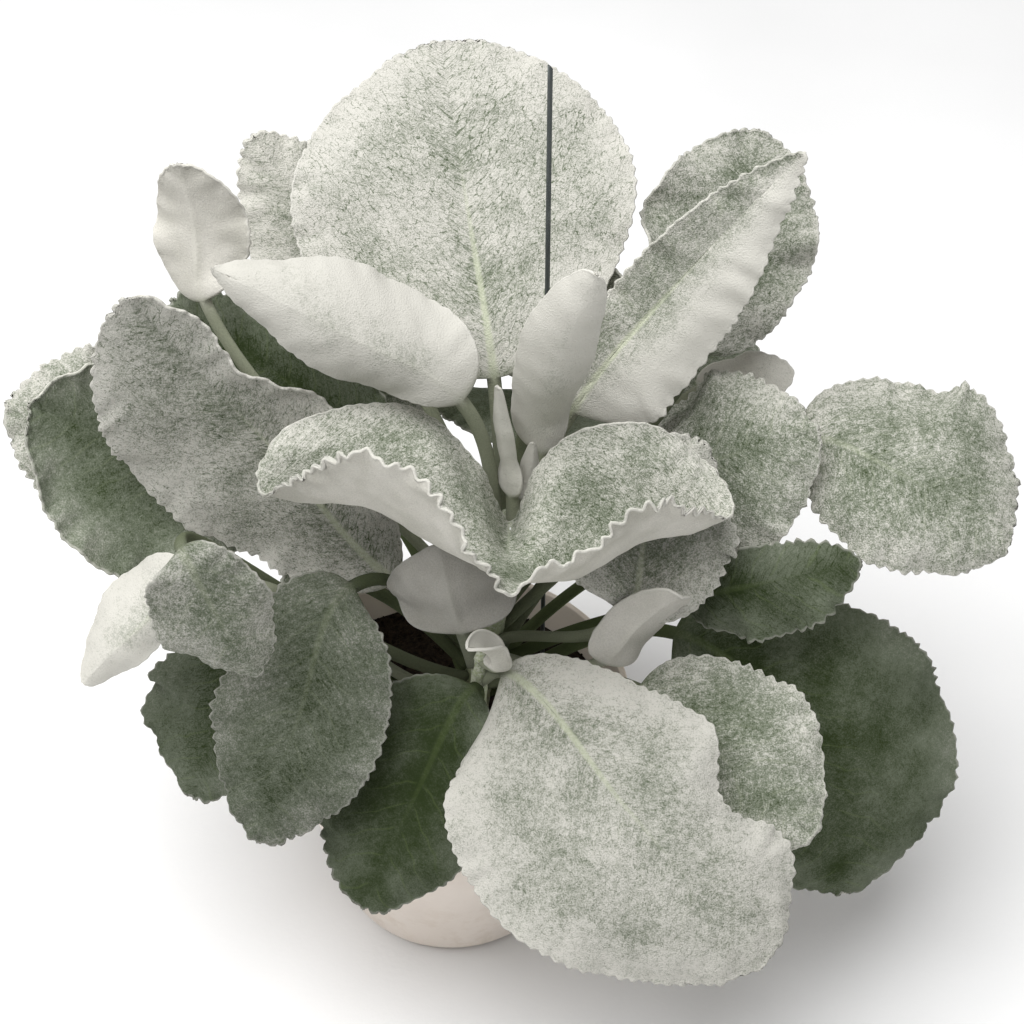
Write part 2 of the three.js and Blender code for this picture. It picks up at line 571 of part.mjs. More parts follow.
function potSolid() {
  const foot = POT.base - POT.heel;
  const side = potRadius(POT.heel);
  const under = POT.height - POT.lipHeight;
  const heel = [1, 2, 3].map((i) => {
    const turn = (Math.PI / 8) * i;
    return [foot + (side - foot) * Math.sin(turn), POT.heel * (1 - Math.cos(turn))];
  });
  const outline = [
    [0, 0],
    [foot, 0],
    ...heel,
    [side, POT.heel],
    [potRadius(under), under],
    [POT.rim, under + 1],
    [POT.rim, POT.height - 1.5],
    [POT.rim - 1.5, POT.height],
    [POT.rim - POT.lip, POT.height],
    [potRadius(under) - POT.wall, under - 2],
    [side - POT.wall, POT.heel],
    [foot, POT.floor],
    [0, POT.floor],
  ];
  let pot = latheSolid(outline, POT.sides);
  for (let i = 0; i < DRAIN.count; i++) {
    const angle = (2 * Math.PI * i) / DRAIN.count;
    const drill = new THREE.CylinderGeometry(DRAIN.radius, DRAIN.radius, 4 * POT.floor, DRAIN.sides)
      .rotateX(Math.PI / 2)
      .translate(DRAIN.circle * Math.cos(angle), DRAIN.circle * Math.sin(angle), 0);
    pot = pot.subtract(solidOf(drill));
  }
  return pot;
}

function wireSolid(extra) {
  const radius = WIRE.radius + extra;
  const length = WIRE.top - WIRE.foot + 2 * extra;
  const rod = new THREE.CylinderGeometry(radius, radius, length, WIRE.sides);
  return solidOf(rod.rotateX(Math.PI / 2).translate(WIRE.x, WIRE.y, (WIRE.top + WIRE.foot) / 2));
}

// The soil fills the pot, a little mounded, with a plain hole for each stem and for the wire.
function soilSolid() {
  const clear = POT.wall + GAP;
  const outline = [
    [0, POT.floor + GAP],
    [POT.base - POT.heel - 2, POT.floor + GAP],
    [potRadius(POT.heel) - clear, POT.heel + 1],
    [potRadius(SOIL.top) - clear, SOIL.top - 2],
    [potRadius(SOIL.top) - clear - 3, SOIL.top],
    [60, SOIL.top + SOIL.mound * 0.5],
    [30, SOIL.top + SOIL.mound],
    [0, SOIL.top + SOIL.mound],
  ];
  let soil = latheSolid(outline, POT.sides);
  for (const stem of Object.values(STEMS)) {
    soil = soil.subtract(stemSolid(stem, GAP));
  }
  return soil.subtract(wireSolid(GAP));
}

place("pot", geometryOf(potSolid()), 0xd9d4cc, 0.45);
place("soil", geometryOf(soilSolid()), 0x2a211b, 0.95);
for (const [name, stem] of Object.entries(STEMS)) {
  place("stem_" + name, geometryOf(stemSolid(stem, 0)), 0x8f9c7e, 0.8);
}
place("support_wire", geometryOf(wireSolid(0)), 0x5b605f, 0.4, 0.8);

// The petioles crowd together at the stem, so each later one is cut clear of the stem and of those before it.
const seats = Object.values(STEMS).map((stem) => stemSolid(stem, GAP));
function placeLeaf({ name, felt }, whole) {
  const solid = seats.reduce((rest, seat) => rest.subtract(seat), whole);
  const color = new THREE.Color(0x7e8f68).lerp(new THREE.Color(0xcdcdc4), felt);
  place(name, geometryOf(solid), color, 0.85);
}
for (const leaf of LEAVES) {
  placeLeaf(leaf, leafSolid(leaf));
  seats.push(leafSolid(leaf, GAP, true));
}
placeLeaf(SADDLE, saddleSolid());

export default part;
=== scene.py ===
# A dusty-white senecio with broad felted leaves, growing in a plain round pot beside a slim support wire.
import math

import bmesh
import bpy
import numpy as np
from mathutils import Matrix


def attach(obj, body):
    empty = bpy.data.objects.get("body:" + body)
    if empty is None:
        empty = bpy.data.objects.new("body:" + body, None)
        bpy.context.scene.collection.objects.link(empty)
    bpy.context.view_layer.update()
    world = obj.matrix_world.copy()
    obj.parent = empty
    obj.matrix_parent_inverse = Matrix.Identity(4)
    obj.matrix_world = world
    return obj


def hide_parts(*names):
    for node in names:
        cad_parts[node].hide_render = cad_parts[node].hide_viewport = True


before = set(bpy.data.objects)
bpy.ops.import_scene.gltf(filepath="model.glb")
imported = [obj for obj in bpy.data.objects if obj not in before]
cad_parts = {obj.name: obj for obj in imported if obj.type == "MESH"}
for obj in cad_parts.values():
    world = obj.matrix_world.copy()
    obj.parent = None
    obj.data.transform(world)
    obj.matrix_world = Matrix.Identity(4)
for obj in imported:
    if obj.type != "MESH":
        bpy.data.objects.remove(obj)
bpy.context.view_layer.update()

# The picture's tones are taken as they are, without a film curve.
bpy.context.scene.view_settings.view_transform = "Standard"

# The view: from a little over a metre away with a long lens, steeply from above and in front, so that
# the upright leaves look foreshortened and only the foot of the pot shows under them.
LOOK_FROM = (0.035, -0.8175, 1.021)
LOOK_DOWN = math.radians(42)
FILM_WIDTH, FOCAL_LENGTH, NEAREST = 36, 76.2, 0.05
lens = bpy.data.cameras.new("view")
lens.sensor_width = FILM_WIDTH
lens.lens = FOCAL_LENGTH
lens.clip_start = NEAREST
view = bpy.data.objects.new("view", lens)
view.location = LOOK_FROM
view.rotation_euler = (math.pi / 2 - LOOK_DOWN, 0, 0)
bpy.context.scene.collection.objects.link(view)
bpy.context.scene.camera = view

# The pot: a plain off-white nursery pot, injection moulded in one from polypropylene. Its wall tapers to
# a rounded heel, the rolled rim stiffens it, and five holes in the sunken floor let water out.
POT_HEIGHT, RIM_RADIUS, FOOT_RADIUS, HEEL = 0.150, 0.100, 0.050, 0.012
WALL_AT_FOOT, WALL_AT_RIM, WALL, POT_FLOOR = 0.062, 0.096, 0.002, 0.003
RIM_DEPTH, LEDGES, LEDGE_DEPTH, LEDGE_HEIGHT = 0.009, (0.046, 0.112), 0.0003, 0.0004
UNDER_LIP, OVER_LIP, INNER_LIP = 0.0016, 0.0018, 0.0008
HOLES, HOLE_RADIUS, HOLE_CIRCLE, HOLE_SIDES, DRILL_LENGTH = 5, 0.005, 0.036, 24, 0.02
POT_SIDES, SOIL_SIDES, WIRE_SIDES = 128, 96, 20


class Field:
    """A node's output that Python's operators work on: an expression adds the Math nodes it stands for."""

    def __init__(self, tree, socket):
        self.tree, self.socket = tree, socket

    @classmethod
    def node(cls, tree, kind, settings, inputs, output=0):
        """Adds a node with its settings, then gives its inputs their values or links."""
        made = tree.nodes.new(kind)
        for name, value in settings.items():
            setattr(made, name, value)
        shown = [socket for socket in made.inputs if socket.enabled]
        for name, value in inputs.items():
            socket = shown[name] if isinstance(name, int) else [s for s in shown if s.name == name][0]
            for one in value if isinstance(value, list) else [value]:
                if isinstance(one, Field):
                    tree.links.new(one.socket, socket)
                else:
                    socket.default_value = one
        given = [socket for socket in made.outputs if socket.enabled]
        if not given:
            return None
        return cls(tree, given[output] if isinstance(output, int) else made.outputs[output])

    def is_vector(self):
        return self.socket.type in ("VECTOR", "RGBA")

    def apply(self, operation, *terms):
        vectors = [isinstance(t, tuple) or isinstance(t, Field) and t.is_vector() for t in terms]
        if not any(vectors):
            return Field.node(self.tree, "ShaderNodeMath", {"operation": operation}, dict(enumerate(terms)))
        if operation == "MULTIPLY" and not all(vectors):
            vector, factor = terms if vectors[0] else reversed(terms)
            inputs = {"Vector": vector, "Scale": factor}
            return Field.node(self.tree, "ShaderNodeVectorMath", {"operation": "SCALE"}, inputs)
        return Field.node(self.tree, "ShaderNodeVectorMath", {"operation": operation}, dict(enumerate(terms)))

    def __add__(self, other):
        return self.apply("ADD", self, other)

    def __sub__(self, other):
        return self.apply("SUBTRACT", self, other)

    def __rsub__(self, other):
        return self.apply("SUBTRACT", other, self)

    def __mul__(self, other):
        return self.apply("MULTIPLY", self, other)

    def __truediv__(self, other):
        return self.apply("DIVIDE", self, other)

    def __rtruediv__(self, other):
        return self.apply("DIVIDE", other, self)

    def __pow__(self, other):
        return self.apply("POWER", self, other)

    def __abs__(self):
        return self.apply("ABSOLUTE", self)

    __radd__, __rmul__ = __add__, __mul__

    def step(self, low, high):
        """0 at low and 1 at high with a soft ramp between, or the other way round where low is above high."""
        inputs = {"Value": self, "From Min": min(low, high), "From Max": max(low, high)}
        ramp = Field.node(self.tree, "ShaderNodeMapRange", {"interpolation_type": "SMOOTHSTEP"}, inputs)
        return ramp if low < high else 1 - ramp

    def mix(self, low, high):
        """The colour low where this is 0, turning into high where it is 1."""
        inputs = {"Factor": self, "A": low, "B": high}
        return Field.node(self.tree, "ShaderNodeMix", {"data_type": "RGBA"}, inputs)


def tint(red, green, blue):
    """A colour as it looks on a screen, 0 to 255 a channel, turned into linear light."""
    linear = [v / 255 / 12.92 if v < 11 else ((v / 255 + 0.055) / 1.055) ** 2.4 for v in (red, green, blue)]
    return (*linear, 1.0)


def grain(tree, place, scale, detail=2.0, roughness=0.5):
    """Cloudy noise with about `scale` clouds to the metre."""
    inputs = {"Vector": place, "Scale": scale, "Detail": detail, "Roughness": roughness}
    return Field.node(tree, "ShaderNodeTexNoise", {}, inputs)


def height_of(tree, place):
    return Field.node(tree, "ShaderNodeSeparateXYZ", {}, {"Vector": place}, output="Z")


def moved(tree, shape, offset):
    return Field.node(tree, "GeometryNodeSetPosition", {}, {"Geometry": shape, "Offset": offset})


def new_finish(name):
    """An empty material: the material, its tree, and the place on the piece in metres."""
    material = bpy.data.materials.new(name)
    material.use_nodes = True
    tree = material.node_tree
    tree.nodes.clear()
    return material, tree, Field.node(tree, "ShaderNodeTexCoord", {}, {}, output="Object")


def close_finish(tree, colour, roughness, height, depth, even):
    """Ends a material: `height` is a relief `depth` metres deep, `even` the values that stay the same."""
    relief = Field.node(tree, "ShaderNodeBump", {}, {"Height": height, "Distance": depth})
    inputs = {"Base Color": colour, "Roughness": roughness, "Normal": relief, **even}
    shader = Field.node(tree, "ShaderNodeBsdfPrincipled", {}, inputs)
    Field.node(tree, "ShaderNodeOutputMaterial", {}, {"Surface": shader})


def new_piece(name, mesh, material):
    piece = bpy.data.objects.new(name, mesh)
    bpy.context.scene.collection.objects.link(piece)
    if material:
        mesh.materials.clear()
        mesh.materials.append(material)
    return piece


def hand_over(piece, slot, *nodes):
    """The finished piece stands for its solids and moves with the plant."""
    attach(piece, "root")
    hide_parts(*nodes)


def turned(name, outline, sides):
    """A mesh turned round the upright axis from an outline of (radius, height) pairs."""
    shape = bmesh.new()
    rings = []
    for radius, height in outline:
        spots = [(0, 0, height)] if radius == 0 else [
            (radius * math.cos(2 * math.pi * i / sides), radius * math.sin(2 * math.pi * i / sides), height)
            for i in range(sides)
        ]
        rings.append([shape.verts.new(spot) for spot in spots])
    for low, high in zip(rings, rings[1:]):
        for i in range(sides):
            j = (i + 1) % sides
            corners = [low[i % len(low)], low[j % len(low)], high[j % len(high)], high[i % len(high)]]
            corners = list(dict.fromkeys(corners))
            if len(corners) > 2:
                shape.faces.new(corners)
    bmesh.ops.recalc_face_normals(shape, faces=shape.faces)
    for face in shape.faces:
        face.smooth = True
    mesh = bpy.data.meshes.new(name)
    shape.to_mesh(mesh)
    shape.free()
    return mesh


def arc(centre, radius, start, end, steps):
    """Points on part of a circle in an outline, the angles in degrees from straight out."""
    angles = [math.radians(start + (end - start) * i / steps) for i in range(steps + 1)]
    return [(centre[0] + radius * math.cos(a), centre[1] + radius * math.sin(a)) for a in angles]


def wall_radius(height):
    return WALL_AT_FOOT + (WALL_AT_RIM - WALL_AT_FOOT) * height / POT_HEIGHT


def potting_shape():
    """The pot's section: under the floor, round the heel, up the wall, over the rim and down inside."""
    rim_foot = POT_HEIGHT - RIM_DEPTH
    heel = [
        (
            FOOT_RADIUS + (wall_radius(HEEL) - FOOT_RADIUS) * math.sin(turn),
            HEEL * (1 - math.cos(turn)),
        )
        for turn in (math.radians(9 * i) for i in range(11))
    ]
    # Two fine ledges run round the wall, where the mould's rings meet.
    wall = []
    for ledge in LEDGES:
        wall += [(wall_radius(ledge), ledge), (wall_radius(ledge) + LEDGE_DEPTH, ledge + LEDGE_HEIGHT)]
    wall += [(wall_radius(rim_foot) - 0.0002, rim_foot - 0.002)]
    lip = arc((RIM_RADIUS - UNDER_LIP, rim_foot + UNDER_LIP), UNDER_LIP, -80, 0, 4)
    lip += arc((RIM_RADIUS - OVER_LIP, POT_HEIGHT - OVER_LIP), OVER_LIP, 0, 90, 5)
    lip += arc((WALL_AT_RIM + INNER_LIP, POT_HEIGHT - INNER_LIP), INNER_LIP, 90, 180, 3)
    inside = [(wall_radius(rim_foot) - WALL, rim_foot - 0.002), (wall_radius(HEEL) - WALL, HEEL)]
    inside += [(FOOT_RADIUS + 0.006, 0.0055), (FOOT_RADIUS, POT_FLOOR), (0, POT_FLOOR)]
    return [(0, 0), *heel, *wall, *lip, *inside]


def new_growth(name, sizes):
    """An empty Geometry Nodes tree with named inputs: the tree, and the inputs by their names."""
    tree = bpy.data.node_groups.new(name, "GeometryNodeTree")
    tree.interface.new_socket("Geometry", in_out="OUTPUT", socket_type="NodeSocketGeometry")
    tree.interface.new_socket("Geometry", in_out="INPUT", socket_type="NodeSocketGeometry")
    for size in sizes:
        tree.interface.new_socket(size, in_out="INPUT", socket_type="NodeSocketFloat")
    tree.interface.new_socket("Seed", in_out="INPUT", socket_type="NodeSocketInt")
    tree.interface.new_socket("Material", in_out="INPUT", socket_type="NodeSocketMaterial")
    entry = tree.nodes.new("NodeGroupInput")
    return tree, {socket.name: Field(tree, socket) for socket in entry.outputs if socket.name}


def close_growth(tree, shape, material):
    """Ends a tree: what it made becomes one real mesh with its material."""
    real = Field.node(tree, "GeometryNodeRealizeInstances", {}, {"Geometry": shape})
    covered = Field.node(tree, "GeometryNodeSetMaterial", {}, {"Geometry": real, "Material": material})
    Field.node(tree, "NodeGroupOutput", {}, {"Geometry": covered})


def grow(piece, tree, values):
    """Runs a tree on a piece, its inputs given by name, and keeps the result as the piece's own mesh."""
    modifier = piece.modifiers.new(tree.name, "NODES")
    modifier.node_group = tree
    for socket in tree.interface.items_tree:
        if socket.in_out == "INPUT" and socket.name in values:
            modifier[socket.identifier] = values[socket.name]
    graph = bpy.context.evaluated_depsgraph_get()
    ready = piece.evaluated_get(graph)
    mesh = bpy.data.meshes.new_from_object(ready, preserve_all_data_layers=True, depsgraph=graph)
    piece.modifiers.remove(modifier)
    piece.data = mesh


drilling, given = new_growth("drain holes", ["Hole Count", "Hole Radius", "Circle Radius"])
spots = Field.node(
    drilling, "GeometryNodeMeshCircle", {},
    {"Vertices": given["Hole Count"], "Radius": given["Circle Radius"]},
)
drill = Field.node(
    drilling, "GeometryNodeMeshCylinder", {},
    {"Vertices": HOLE_SIDES, "Radius": given["Hole Radius"], "Depth": DRILL_LENGTH},
)
drills = Field.node(drilling, "GeometryNodeInstanceOnPoints", {}, {"Points": spots, "Instance": drill})
bits = Field.node(drilling, "GeometryNodeRealizeInstances", {}, {"Geometry": drills})
drilled = Field.node(
    drilling, "GeometryNodeMeshBoolean", {"operation": "DIFFERENCE", "solver": "EXACT"},
    {"Mesh 1": given["Geometry"], "Mesh 2": bits},
)
close_growth(drilling, drilled, given["Material"])

# Satin plastic: faint flow clouds, a film of dust and lime towards the foot, fine scuffs on the rim.
plastic, tree, spot = new_finish("off-white pot plastic")
height = height_of(tree, spot)
clouds = grain(tree, spot, 22, 4.0)
dust = grain(tree, spot, 90, 5.0, 0.65).step(0.45, 0.75) * height.step(0.1, 0.0)
scuffs = grain(tree, spot * (1.0, 1.0, 9.0), 160, 3.0).step(0.62, 0.72) * height.step(0.138, 0.146)
shade = clouds.step(0.3, 0.7).mix(tint(226, 215, 204), tint(234, 224, 214))
shade = (dust * 0.45).mix(shade, tint(204, 189, 172))
shade = (scuffs * 0.5).mix(shade, tint(204, 195, 184))
close_finish(
    tree, shade, 0.42 + dust * 0.3 + scuffs * 0.2, grain(tree, spot, 900, 2.0), 0.00006,
    {"Specular IOR Level": 0.4},
)

pot = new_piece("pot_moulded", turned("pot_moulded", potting_shape(), POT_SIDES), None)
holes = {"Hole Count": HOLES, "Hole Radius": HOLE_RADIUS, "Circle Radius": HOLE_CIRCLE}
grow(pot, drilling, {**holes, "Material": plastic})
hand_over(pot, "pot", "pot")

# The soil: dark peat compost with a few coarse fibres, filled in loose and pressed down by watering.
# It stands just under the rim, heaped a little round the stems, and its crumbs lie open on top.
SOIL_EDGE, SOIL_MOUND, SOIL_GAP, SOIL_UNEVENNESS = 0.131, 0.005, 0.0003, 0.004
CRUMBS_PER_M2, CRUMB_SMALL, CRUMB_LARGE, CRUMB_SEED, SOIL_RINGS = 70000, 0.0007, 0.0022, 7, 40

heaping, given = new_growth("crumbs", ["Crumbs", "Smallest", "Largest", "Unevenness"])
place = Field.node(heaping, "GeometryNodeInputPosition", {}, {})
open_top = height_of(heaping, place).step(SOIL_EDGE - 0.0015, SOIL_EDGE - 0.0002)
lumps = (grain(heaping, place, 130, 4.0) - 0.5) * given["Unevenness"] * open_top
lifted = moved(heaping, given["Geometry"], Field.node(heaping, "ShaderNodeCombineXYZ", {}, {"Z": lumps}))
seats = Field.node(
    heaping, "GeometryNodeDistributePointsOnFaces", {},
    {"Mesh": lifted, "Density": given["Crumbs"] * open_top, "Seed": given["Seed"]},
)
crumb = Field.node(heaping, "GeometryNodeMeshIcoSphere", {}, {"Radius": 1.0, "Subdivisions": 1})
turns = Field.node(
    heaping, "FunctionNodeRandomValue", {"data_type": "FLOAT_VECTOR"},
    {"Min": (0.0, 0.0, 0.0), "Max": (6.28, 6.28, 6.28), "Seed": given["Seed"]},
)
spread = Field.node(heaping, "FunctionNodeRandomValue", {"data_type": "FLOAT"}, {"Seed": given["Seed"]})
bulk = given["Smallest"] + (given["Largest"] - given["Smallest"]) * spread ** 3.0
squat = Field.node(
    heaping, "FunctionNodeRandomValue", {"data_type": "FLOAT_VECTOR"},
    {"Min": (0.6, 0.6, 0.4), "Max": (1.4, 1.1, 0.9), "Seed": given["Seed"]},
)
crumbs = Field.node(
    heaping, "GeometryNodeInstanceOnPoints", {},
    {"Points": seats, "Instance": crumb, "Rotation": turns, "Scale": squat * bulk},
)
close_growth(
    heaping, Field.node(heaping, "GeometryNodeJoinGeometry", {}, {"Geometry": [lifted, crumbs]}),
    given["Material"],
)

# Damp peat: near black between the crumbs, browner on them, with fibres a little lighter.
peat, tree, spot = new_finish("peat compost")
lumps = grain(tree, spot, 420, 5.0, 0.7)
fibres = grain(tree, spot * (1.0, 5.0, 1.0), 500, 3.0).step(0.6, 0.72)
shade = lumps.step(0.35, 0.7).mix(tint(15, 12, 9), tint(48, 39, 30))
shade = (fibres * 0.4).mix(shade, tint(84, 69, 52))
close_finish(tree, shade, 0.96 - fibres * 0.1, lumps, 0.0012, {"Specular IOR Level": 0.12})

soil_outline = [(0, POT_FLOOR + SOIL_GAP), (FOOT_RADIUS, POT_FLOOR + SOIL_GAP)]
soil_outline += [(wall_radius(z) - WALL - SOIL_GAP, z) for z in (HEEL, 0.06, 0.1, SOIL_EDGE)]
soil_edge = soil_outline[-1][0]
soil_outline += [
    (soil_edge * (1 - i / SOIL_RINGS), SOIL_EDGE + SOIL_MOUND * (1 - (1 - i / SOIL_RINGS) ** 2))
    for i in range(1, SOIL_RINGS + 1)
]
soil = new_piece("soil_crumbly", turned("soil_crumbly", soil_outline, SOIL_SIDES), None)
grow(soil, heaping, {
    "Crumbs": CRUMBS_PER_M2, "Smallest": CRUMB_SMALL, "Largest": CRUMB_LARGE,
    "Unevenness": SOIL_UNEVENNESS, "Seed": CRUMB_SEED, "Material": peat,
})
hand_over(soil, "soil", "soil")

# The stems: one stout fleshy stem and a thinner side shoot in front, both grown up out of the compost.
# Old leaves have left raised scars round them, and a thin bloom of felt covers their upper half.
# Each has its foot, its top and the radius at both ends, in millimetres.
STEMS = {
    "main": dict(foot=[6, 4, 92], top=[36, 2, 284], radius=[9.5, 6.5], node="stem_main"),
    "front": dict(foot=[10, -40, 100], top=[20, -54, 240], radius=[6, 4], node="stem_front"),
}
SCAR_SPACING, SCAR_HEIGHT, STEM_STEP, STEM_SIDES, STEM_PARTS = 0.013, 0.0004, 0.0015, 40, 12

stretching, given = new_growth("fleshy stem", ["Foot Radius", "Top Radius", "Scar Spacing", "Scar Height"])
line = Field.node(stretching, "GeometryNodeMeshToCurve", {}, {"Mesh": given["Geometry"]})
line = Field.node(
    stretching, "GeometryNodeResampleCurve", {"mode": "LENGTH"}, {"Curve": line, "Length": STEM_STEP},
)
part_way = Field.node(stretching, "GeometryNodeSplineParameter", {}, {}, output="Factor")
gone = Field.node(stretching, "GeometryNodeSplineParameter", {}, {}, output="Length")
place = Field.node(stretching, "GeometryNodeInputPosition", {}, {})
wander = grain(stretching, place, 40, 1.0)
ring = (gone / given["Scar Spacing"] + wander).apply("FRACT", gone / given["Scar Spacing"] + wander)
scar = ring.step(0.0, 0.06) * ring.step(0.22, 0.08) * given["Scar Height"]
thick = given["Foot Radius"] + (given["Top Radius"] - given["Foot Radius"]) * part_way
thick = (thick + scar + (wander - 0.5) * 0.0008) * (1 - 0.45 * part_way.step(0.975, 1.0))
round_section = Field.node(
    stretching, "GeometryNodeCurvePrimitiveCircle", {}, {"Resolution": STEM_SIDES, "Radius": 1.0},
)
solid_stem = Field.node(
    stretching, "GeometryNodeCurveToMesh", {},
    {"Curve": line, "Profile Curve": round_section, "Scale": thick, "Fill Caps": True},
)
solid_stem = Field.node(stretching, "GeometryNodeSetShadeSmooth", {}, {"Geometry": solid_stem})
close_growth(stretching, solid_stem, given["Material"])

# Fleshy skin: pale grey-green, corky brown low down, with darker scars and a bloom of fine felt above.
skin, tree, spot = new_finish("fleshy stem skin")
height = height_of(tree, spot)
streaks = grain(tree, spot * (1.0, 1.0, 0.15), 420, 4.0, 0.6)
bloom = grain(tree, spot, 700, 3.0) * height.step(0.13, 0.24)
corky = height.step(0.19, 0.13) * grain(tree, spot, 110, 4.0).step(0.3, 0.6)
shade = streaks.step(0.3, 0.7).mix(tint(128, 140, 104), tint(160, 168, 134))
shade = bloom.step(0.35, 0.65).mix(shade, tint(190, 192, 176))
shade = (corky * 0.8).mix(shade, tint(112, 100, 76))
close_finish(tree, shade, 0.75 + bloom * 0.2, streaks * 0.6 + bloom * 0.4, 0.0004, {"Sheen Weight": 0.15})

for stem in STEMS.values():
    foot, top = np.array(stem["foot"]), np.array(stem["top"])
    mesh = bpy.data.meshes.new(stem["node"] + "_fleshy")
    spots = [((foot + (top - foot) * i / STEM_PARTS) * 0.001).tolist() for i in range(STEM_PARTS + 1)]
    mesh.from_pydata(spots, [(i, i + 1) for i in range(STEM_PARTS)], [])
    piece = new_piece(mesh.name, mesh, None)
    grow(piece, stretching, {
        "Foot Radius": stem["radius"][0] * 0.001, "Top Radius": stem["radius"][1] * 0.001,
        "Scar Spacing": SCAR_SPACING, "Scar Height": SCAR_HEIGHT, "Material": skin,
    })
    hand_over(piece, "stem", stem["node"])

# The support wire: a straight length of dark drawn steel rod, pushed into the compost behind the stem.
# It keeps the tall crown from leaning. Its upper end is cut off at a slant.
WIRE_X, WIRE_Y, WIRE_RADIUS, WIRE_FOOT, WIRE_TOP, SLANT = 0.052, 0.030, 0.0012, 0.060, 0.525, 0.95

# Drawn steel with a dull oxide skin: lengthwise drawing marks and a few lighter rubbed places.
steel, tree, spot = new_finish("dull drawn steel")
marks = grain(tree, spot * (1.0, 1.0, 0.02), 4200, 2.0)
rubbed = grain(tree, spot, 60, 4.0).step(0.55, 0.7)
shade = marks.step(0.3, 0.7).mix(tint(72, 77, 76), tint(98, 103, 102))
shade = (rubbed * 0.4).mix(shade, tint(132, 136, 134))
close_finish(tree, shade, 0.5 + marks * 0.2 - rubbed * 0.1, marks, 0.00005, {"Metallic": 0.6})

length = WIRE_TOP - WIRE_FOOT
rod_outline = [(0, WIRE_FOOT), (WIRE_RADIUS * 0.8, WIRE_FOOT), (WIRE_RADIUS, WIRE_FOOT + 0.0003)]
rod_outline += [(WIRE_RADIUS, WIRE_FOOT + length * i / 30) for i in range(1, 30)]
rod_outline += [(WIRE_RADIUS, WIRE_TOP - WIRE_RADIUS), (0, WIRE_TOP - WIRE_RADIUS)]
rod = turned("support_wire_drawn", rod_outline, WIRE_SIDES)
for vertex in rod.vertices:
    if vertex.co.z > WIRE_TOP - 0.002:
        vertex.co.z -= vertex.co.x * SLANT
    vertex.co.x += WIRE_X
    vertex.co.y += WIRE_Y
hand_over(new_piece("support_wire_drawn", rod, steel), "wire", "support_wire")

# The leaves: each is one blade on a fleshy petiole that runs on under it as the midrib. Both sides wear a
# white felt of fine hairs, thin and cracked over the green on old leaves and thick and smooth on young ones.
# The margin is cut into small rounded teeth under a woolly rim. All sprout round a stem, in these places.
HALF_THICKNESS, PETIOLE_HALF_WIDTH, PETIOLE_HALF_THICKNESS, RIB_DEPTH = 0.55, 3.6, 2.4, 1.7
LEAST_HALF_WIDTH, USUAL_ROLL = 1.2, [[-10, -10], [-20, -20]]

